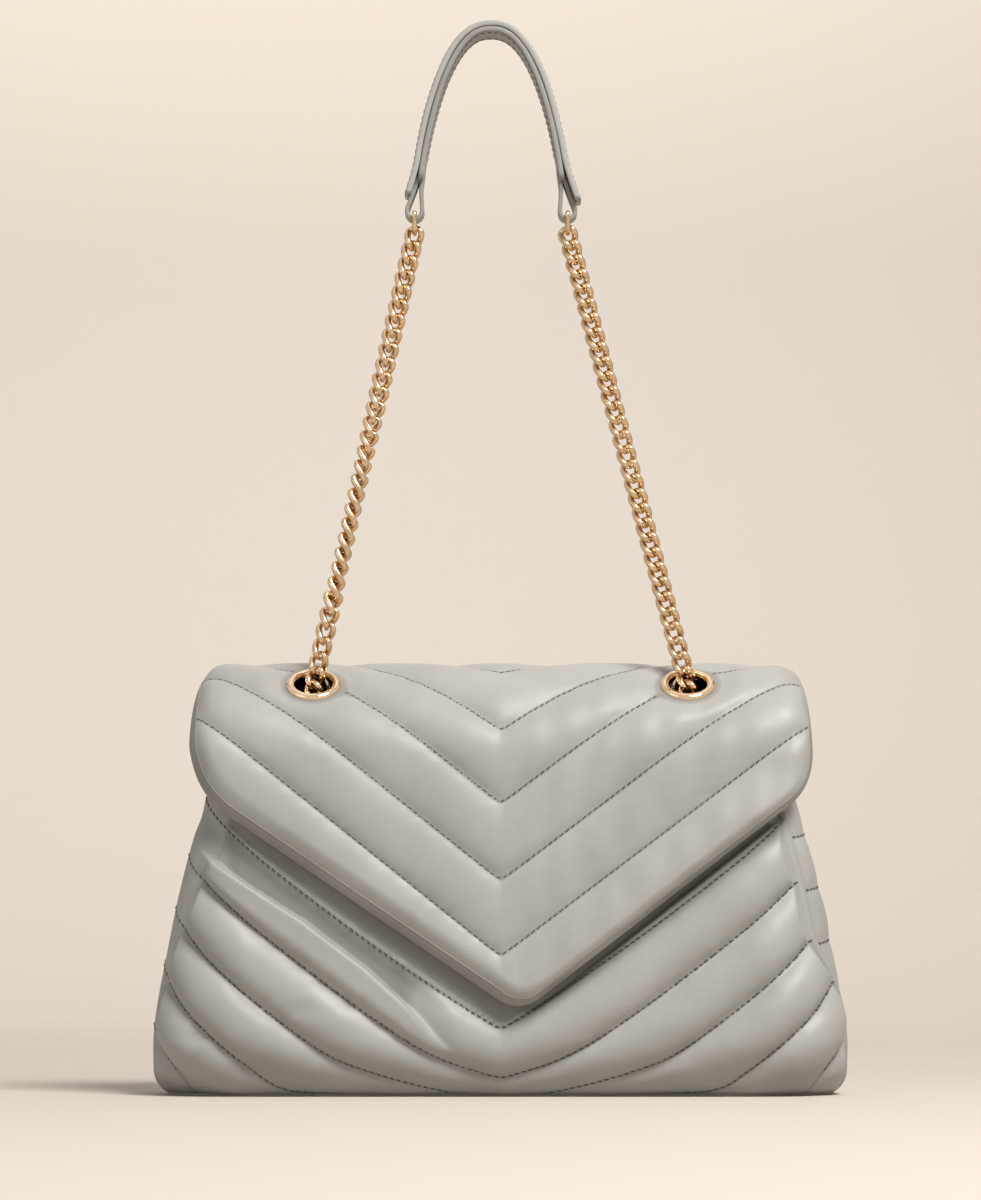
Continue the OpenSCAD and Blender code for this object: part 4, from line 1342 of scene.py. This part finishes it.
def band_section(half, low, high, soft=0.9, crown=0.25):
    """Rounded section of a leather band: half its width, and its lower and upper side."""
    points = []
    radius = min(soft, (high - low) / 2 - 0.02)
    for cx, cy, first in rounded_corners(half - radius, high - radius, low + radius):
        points += [(cx + radius * math.cos(turn), cy + radius * math.sin(turn))
                   for turn in np.radians(np.linspace(first, first + 90, 5))]
        if first == 0:
            points += [(t * (half - radius), high + crown * (1 - t * t))
                       for t in np.linspace(1, -1, 11)[1:-1]]
        if first == 180:
            points += [(t * (half - radius), low) for t in np.linspace(-1, 1, 7)[1:-1]]
    return np.array(points)


def rounded_corners(half, high, low):
    """Middle of each corner of a rounded box, and the angle at which its turn starts."""
    return (half, high, 0), (-half, high, 90), (-half, low, 180), (half, low, 270)


NECK_HALF = 6.0
STITCH_IN = 3.0
LOOP_R = 3.75


def arch_end(side, degrees, offset):
    """A place on the pad's arch, at an angle from its left or right end and an offset."""
    return arch(math.radians(degrees if side > 0 else 180 - degrees), offset)[0]


def pad_loop(side):
    """Points and faces of the leather loop round a ring."""
    centre = np.array([PAD_X + side * PAD_HALF, STRAP_Y, PAD_BASE])
    path = [arch_end(side, degrees, -2.1) for degrees in (13, 10, 7)]
    path += [centre + LOOP_R * np.array([side * math.cos(turn), 0, math.sin(turn)])
             for turn in np.radians(np.linspace(165, 375, 22))]
    path += [arch_end(side, degrees, offset) for degrees, offset in ((5.2, 1.5), (8, 0.5), (11, -0.4))]
    run = lengths_along(path)
    path = rounded(at_places(np.linspace(0, run[-1], 60), run, path), 3)
    wide = np.tile([0.0, 1.0, 0.0], (len(path), 1))
    section = band_section(NECK_HALF, -1.0, 1.0, 0.6, 0.0)
    return sweep(path, wide, np.cross(directions(path), wide), section)


def build_pad():
    """Shoulder pad: two leather layers, the inner one turned round the rings as loops."""
    steps = 150
    across = np.tile([0.0, 1.0, 0.0], (steps, 1))
    # Cover, from cut end to cut end, whose ends stand a little off
    place, out = arch(np.radians(np.linspace(3.0, 175.2, steps)), 0.0)
    order = np.arange(steps)
    splay = (3.6 * np.clip(1 - order / 11, 0, 1) ** 1.4
             + 2.2 * np.clip(1 - (steps - 1 - order) / 9, 0, 1) ** 1.4)
    wave = 0.072 * np.sin(np.linspace(0, 31, steps))
    place = place + out * (splay + wave)[:, None]
    section = band_section(PAD_W, 0.15, PAD_LAYER - 0.3)
    make_piece("pad_cover_leather", *sweep(place, across, out, section), plain,
               "quilted_leather", "pad_cover", "pad")
    rows = [(place + across * side * (PAD_W - STITCH_IN) + out * (PAD_LAYER - 0.3), out)
            for side in (-1, 1)]
    # Inner layer: broad under the cover, narrow at its necks
    angles = np.radians(np.linspace(9.5, 170.5, steps))
    place, out = arch(angles, 0.0)
    degrees = np.degrees(np.minimum(angles, math.pi - angles))
    width = NECK_HALF + (PAD_W - NECK_HALF) * smooth((degrees - 7.5) / 4)
    sections = np.array([band_section(w, 0.6 - PAD_LAYER, -0.05, 0.9, 0.0) for w in width])
    inner = make_piece("pad_inner_leather", *sweep(place, across, out, sections), edge_paint,
                       "lining_leather", "pad_inner", "pad")
    place, across, out = place[8:-8], across[8:-8], out[8:-8]
    rows += [(place + across * side * (PAD_W - STITCH_IN) - out * (PAD_LAYER - 0.6), -out)
             for side in (-1, 1)]
    make_piece("pad_loops_leather", *joined([pad_loop(-1), pad_loop(1)]), edge_paint,
               "lining_leather", None, "pad")
    stitches("pad_stitches", rows, "quilted_leather", "pad", 0.0)


# Zip, pocket and metal parts


def build_zip_frame():
    """Leather frame of the pocket's zip, sewn to the leaning back lining."""
    low, high = box_of("zip_frame")
    tilt = math.atan(LEAN)
    up = np.array([0, -math.sin(tilt), math.cos(tilt)])
    inwards = np.array([0, -math.cos(tilt), -math.sin(tilt)])
    right = np.array([1.0, 0, 0])
    rim = 4.0
    corner = 3.0
    half_l = (high[0] - low[0]) / 2 - corner
    half_h = (high[2] - low[2]) / 2 / math.cos(tilt) - corner
    path, wide = [], []
    for cx, cz, first in rounded_corners(half_l, half_h, -half_h):
        for turn in np.radians(np.linspace(first, first + 90, 7)):
            wide.append(math.cos(turn) * right + math.sin(turn) * up)
            path.append((low + high) / 2 + cx * right + cz * up + wide[-1] * (corner - rim / 2))
    face = np.tile(inwards, (len(path), 1))
    section = band_section(rim / 2, -0.55, 0.55, 0.45, 0.15)
    make_piece("zip_frame_leather", *sweep(path, wide, face, section, True), inner_leather,
               "lining_leather", "zip_frame", "bag")
    row = np.vstack([path, path[:1]]) + 0.6 * inwards
    normals = np.tile(inwards, (len(row), 1))
    stitches("zip_frame_stitches", [(row, normals)], "lining_leather", "bag")


def build_zip_cloth(name, node, material, slot, swell):
    """Woven tape of the zip, or the cloth pocket behind it: a leaning flat piece with soft edges."""
    low, high = box_of(node)
    x = np.linspace(low[0], high[0], 81)[None] + np.zeros((25, 1))
    z = np.linspace(low[2], high[2], 25)[:, None] + 0 * x
    far = high[1] - (z - low[2]) * LEAN
    thick = (high[1] - low[1]) - (high[2] - low[2]) * LEAN
    edge = np.minimum(np.minimum(x - low[0], high[0] - x), np.minimum(z - low[2], high[2] - z))
    thinner = 0.3 * thick * (1 - smooth(edge / 3))
    wave = swell * ripple(x, z, 35, 71)
    layers = [np.stack([x, y, z], -1)
              for y in (far - thinner - 0.05, far - thick + thinner + np.abs(wave) * 0.5)]
    shell(name, *layers, material, slot, node)


STEEL_NODES = ("snap_magnet", "snap_socket_plate", "snap_stud_plate")


def dress_hardware():
    """Softens the edges of the CAD metal pieces that stay, and gives each of them a gold or steel material.
    """
    for name, node in nodes.items():
        if node.hide_render:
            continue
        node.data.materials.clear()
        node.data.materials.append(steel if name in STEEL_NODES else gold)
        soft = node.modifiers.new("soft_edges", "BEVEL")
        soft.width = 0.25 * MM
        soft.segments = 3
        soft.limit_method = "ANGLE"
        soft.angle_limit = math.radians(40)
        soft.harden_normals = True


build_flap()
build_flap_lining()
build_bound_edge()
build_panel("front_panel", -1)
build_panel("back_panel", 1)
build_gusset("gusset_left", -1)
build_gusset("gusset_right", 1)
build_base()
build_linings()
build_zip_frame()
build_zip_cloth("zip_tape_woven", "zip_tape", tape_cloth, "zip_tape", 0.0)
build_zip_cloth("pocket_bag_cloth", "pocket_bag", lining_cloth, "lining_cloth", 0.35)
build_grommets()
build_rings()
build_pad()
for name, node, body in (
        ("links_under_flap", "chain_under_flap", "flap"),
        ("links_in_grommets", "chain_in_grommets", "flap"),
        ("links_of_fold", "chain_fold", "fold"),
        ("links_left_lower", "chain_left_lower", "strap_lower"),
        ("links_right_lower", "chain_right_lower", "strap_lower"),
        ("links_of_bend", "chain_bend", "bend"),
        ("links_left_upper", "chain_left_upper", "strap_upper"),
        ("links_right_upper", "chain_right_upper", "strap_upper")):
    build_chain(name, node, body)
dress_hardware()

# Floor, backdrop, light and camera

# Colour that the floor and backdrop throw back onto the bag, a little darker than they look
BOUNCE = colour(184, 178, 170)


def seen_share(tree):
    """1 where the camera sees a surface, itself or in polished metal, and otherwise 0."""
    path = new_node(tree, "LightPath", {})
    inputs = {0: path["Is Camera Ray"], 1: path["Is Glossy Ray"]}
    return new_node(tree, "Math", inputs, operation="MAXIMUM")["Value"]


def backdrop_material(name, tint):
    """Plain pale surface, a little uneven, seen by the camera and in the metal at its own colour."""
    made = Surface(name)
    base = made.mixed(made.ramp(made.noise(400, 2), 0, 0.1), tint, colour(240, 232, 222))
    return made.finish(base=made.mixed(seen_share(made.tree), BOUNCE, base), roughness=0.9, specular=0.1)


def build_stage():
    """A floor that curves up into a backdrop."""
    half, front, back, rise, bend = 4000.0, -3500.0, 3000.0, 4500.0, 900.0
    profile = [(front, 0.0), (back - bend, 0.0)]
    profile += [(back - bend + bend * math.sin(a), bend - bend * math.cos(a))
                for a in np.linspace(0, math.pi / 2, 25)[1:]]
    profile.append((back, rise))
    points = [(x, y, z) for y, z in profile for x in (-half, half)]
    paper = backdrop_material("studio_paper", colour(233, 222, 209))
    make_mesh("studio_sweep", points, grid_faces(len(profile), 2), paper)


WORLD_LIGHT = 0.2
WORLD_SEEN = 0.8


def aimed(name, data, place, aim):
    """A lamp or camera at a place, turned towards another place."""
    made = bpy.data.objects.new(name, data)
    made.location = place
    made.rotation_mode = "QUATERNION"
    made.rotation_quaternion = (Vector(aim) - Vector(place)).to_track_quat("-Z", "Y")
    bpy.context.scene.collection.objects.link(made)
    return made


def build_lights():
    """Large soft key from the upper right, weak lamps at the left and above, one for the backdrop,
    and even light all round."""
    world = bpy.data.worlds.new("studio_air")
    bpy.context.scene.world = world
    world.use_nodes = True
    tree = world.node_tree
    # The pale surroundings are seen in the metal at a strength that lights nothing else
    inputs = {"Value": seen_share(tree), "To Min": WORLD_LIGHT, "To Max": WORLD_SEEN}
    plug(tree.nodes["Background"].inputs["Strength"], new_node(tree, "MapRange", inputs)["Result"])
    plug(tree.nodes["Background"].inputs["Color"], colour(250, 248, 246))
    # Places, aims and sizes in metres, power in watts
    for name, place, aim, size, power in (
            ("key_light", (0.8, -1.3, 1.95), (0, 0, 0.12), (0.9, 0.9), 51),
            ("fill_light", (-1.6, -1.4, 0.6), (0, 0, 0.12), (1.4, 1.4), 3.5),
            ("top_light", (0.0, 0.2, 2.0), (0, 0, 0.1), (1.2, 1.2), 2),
            ("backdrop_light", (-0.3, 1.8, 2.2), (-0.2, 3.0, 0.8), (3.4, 0.7), 36)):
        data = bpy.data.lights.new(name, "AREA")
        data.shape = "RECTANGLE"
        data.size, data.size_y = size
        data.energy = power
        aimed(name, data, place, aim).visible_camera = False


def build_camera():
    """Camera of the photograph: straight on, low, with a long lens."""
    frame_height = 569.0
    distance = 2000.0
    across, eye_z, target_z = -4.8, 72.0, 233.6
    eye = Vector((across, STRAP_Y - distance, eye_z))
    target = Vector((across, STRAP_Y, target_z))
    data = bpy.data.cameras.new("photo_camera")
    data.sensor_width = 36
    data.lens = data.sensor_width * (target - eye).length / frame_height
    bpy.context.scene.camera = aimed("photo_camera", data, eye * MM, target * MM)


build_stage()
build_lights()
build_camera()
bpy.context.scene.view_settings.view_transform = "Standard"

bpy.context.view_layer.update()
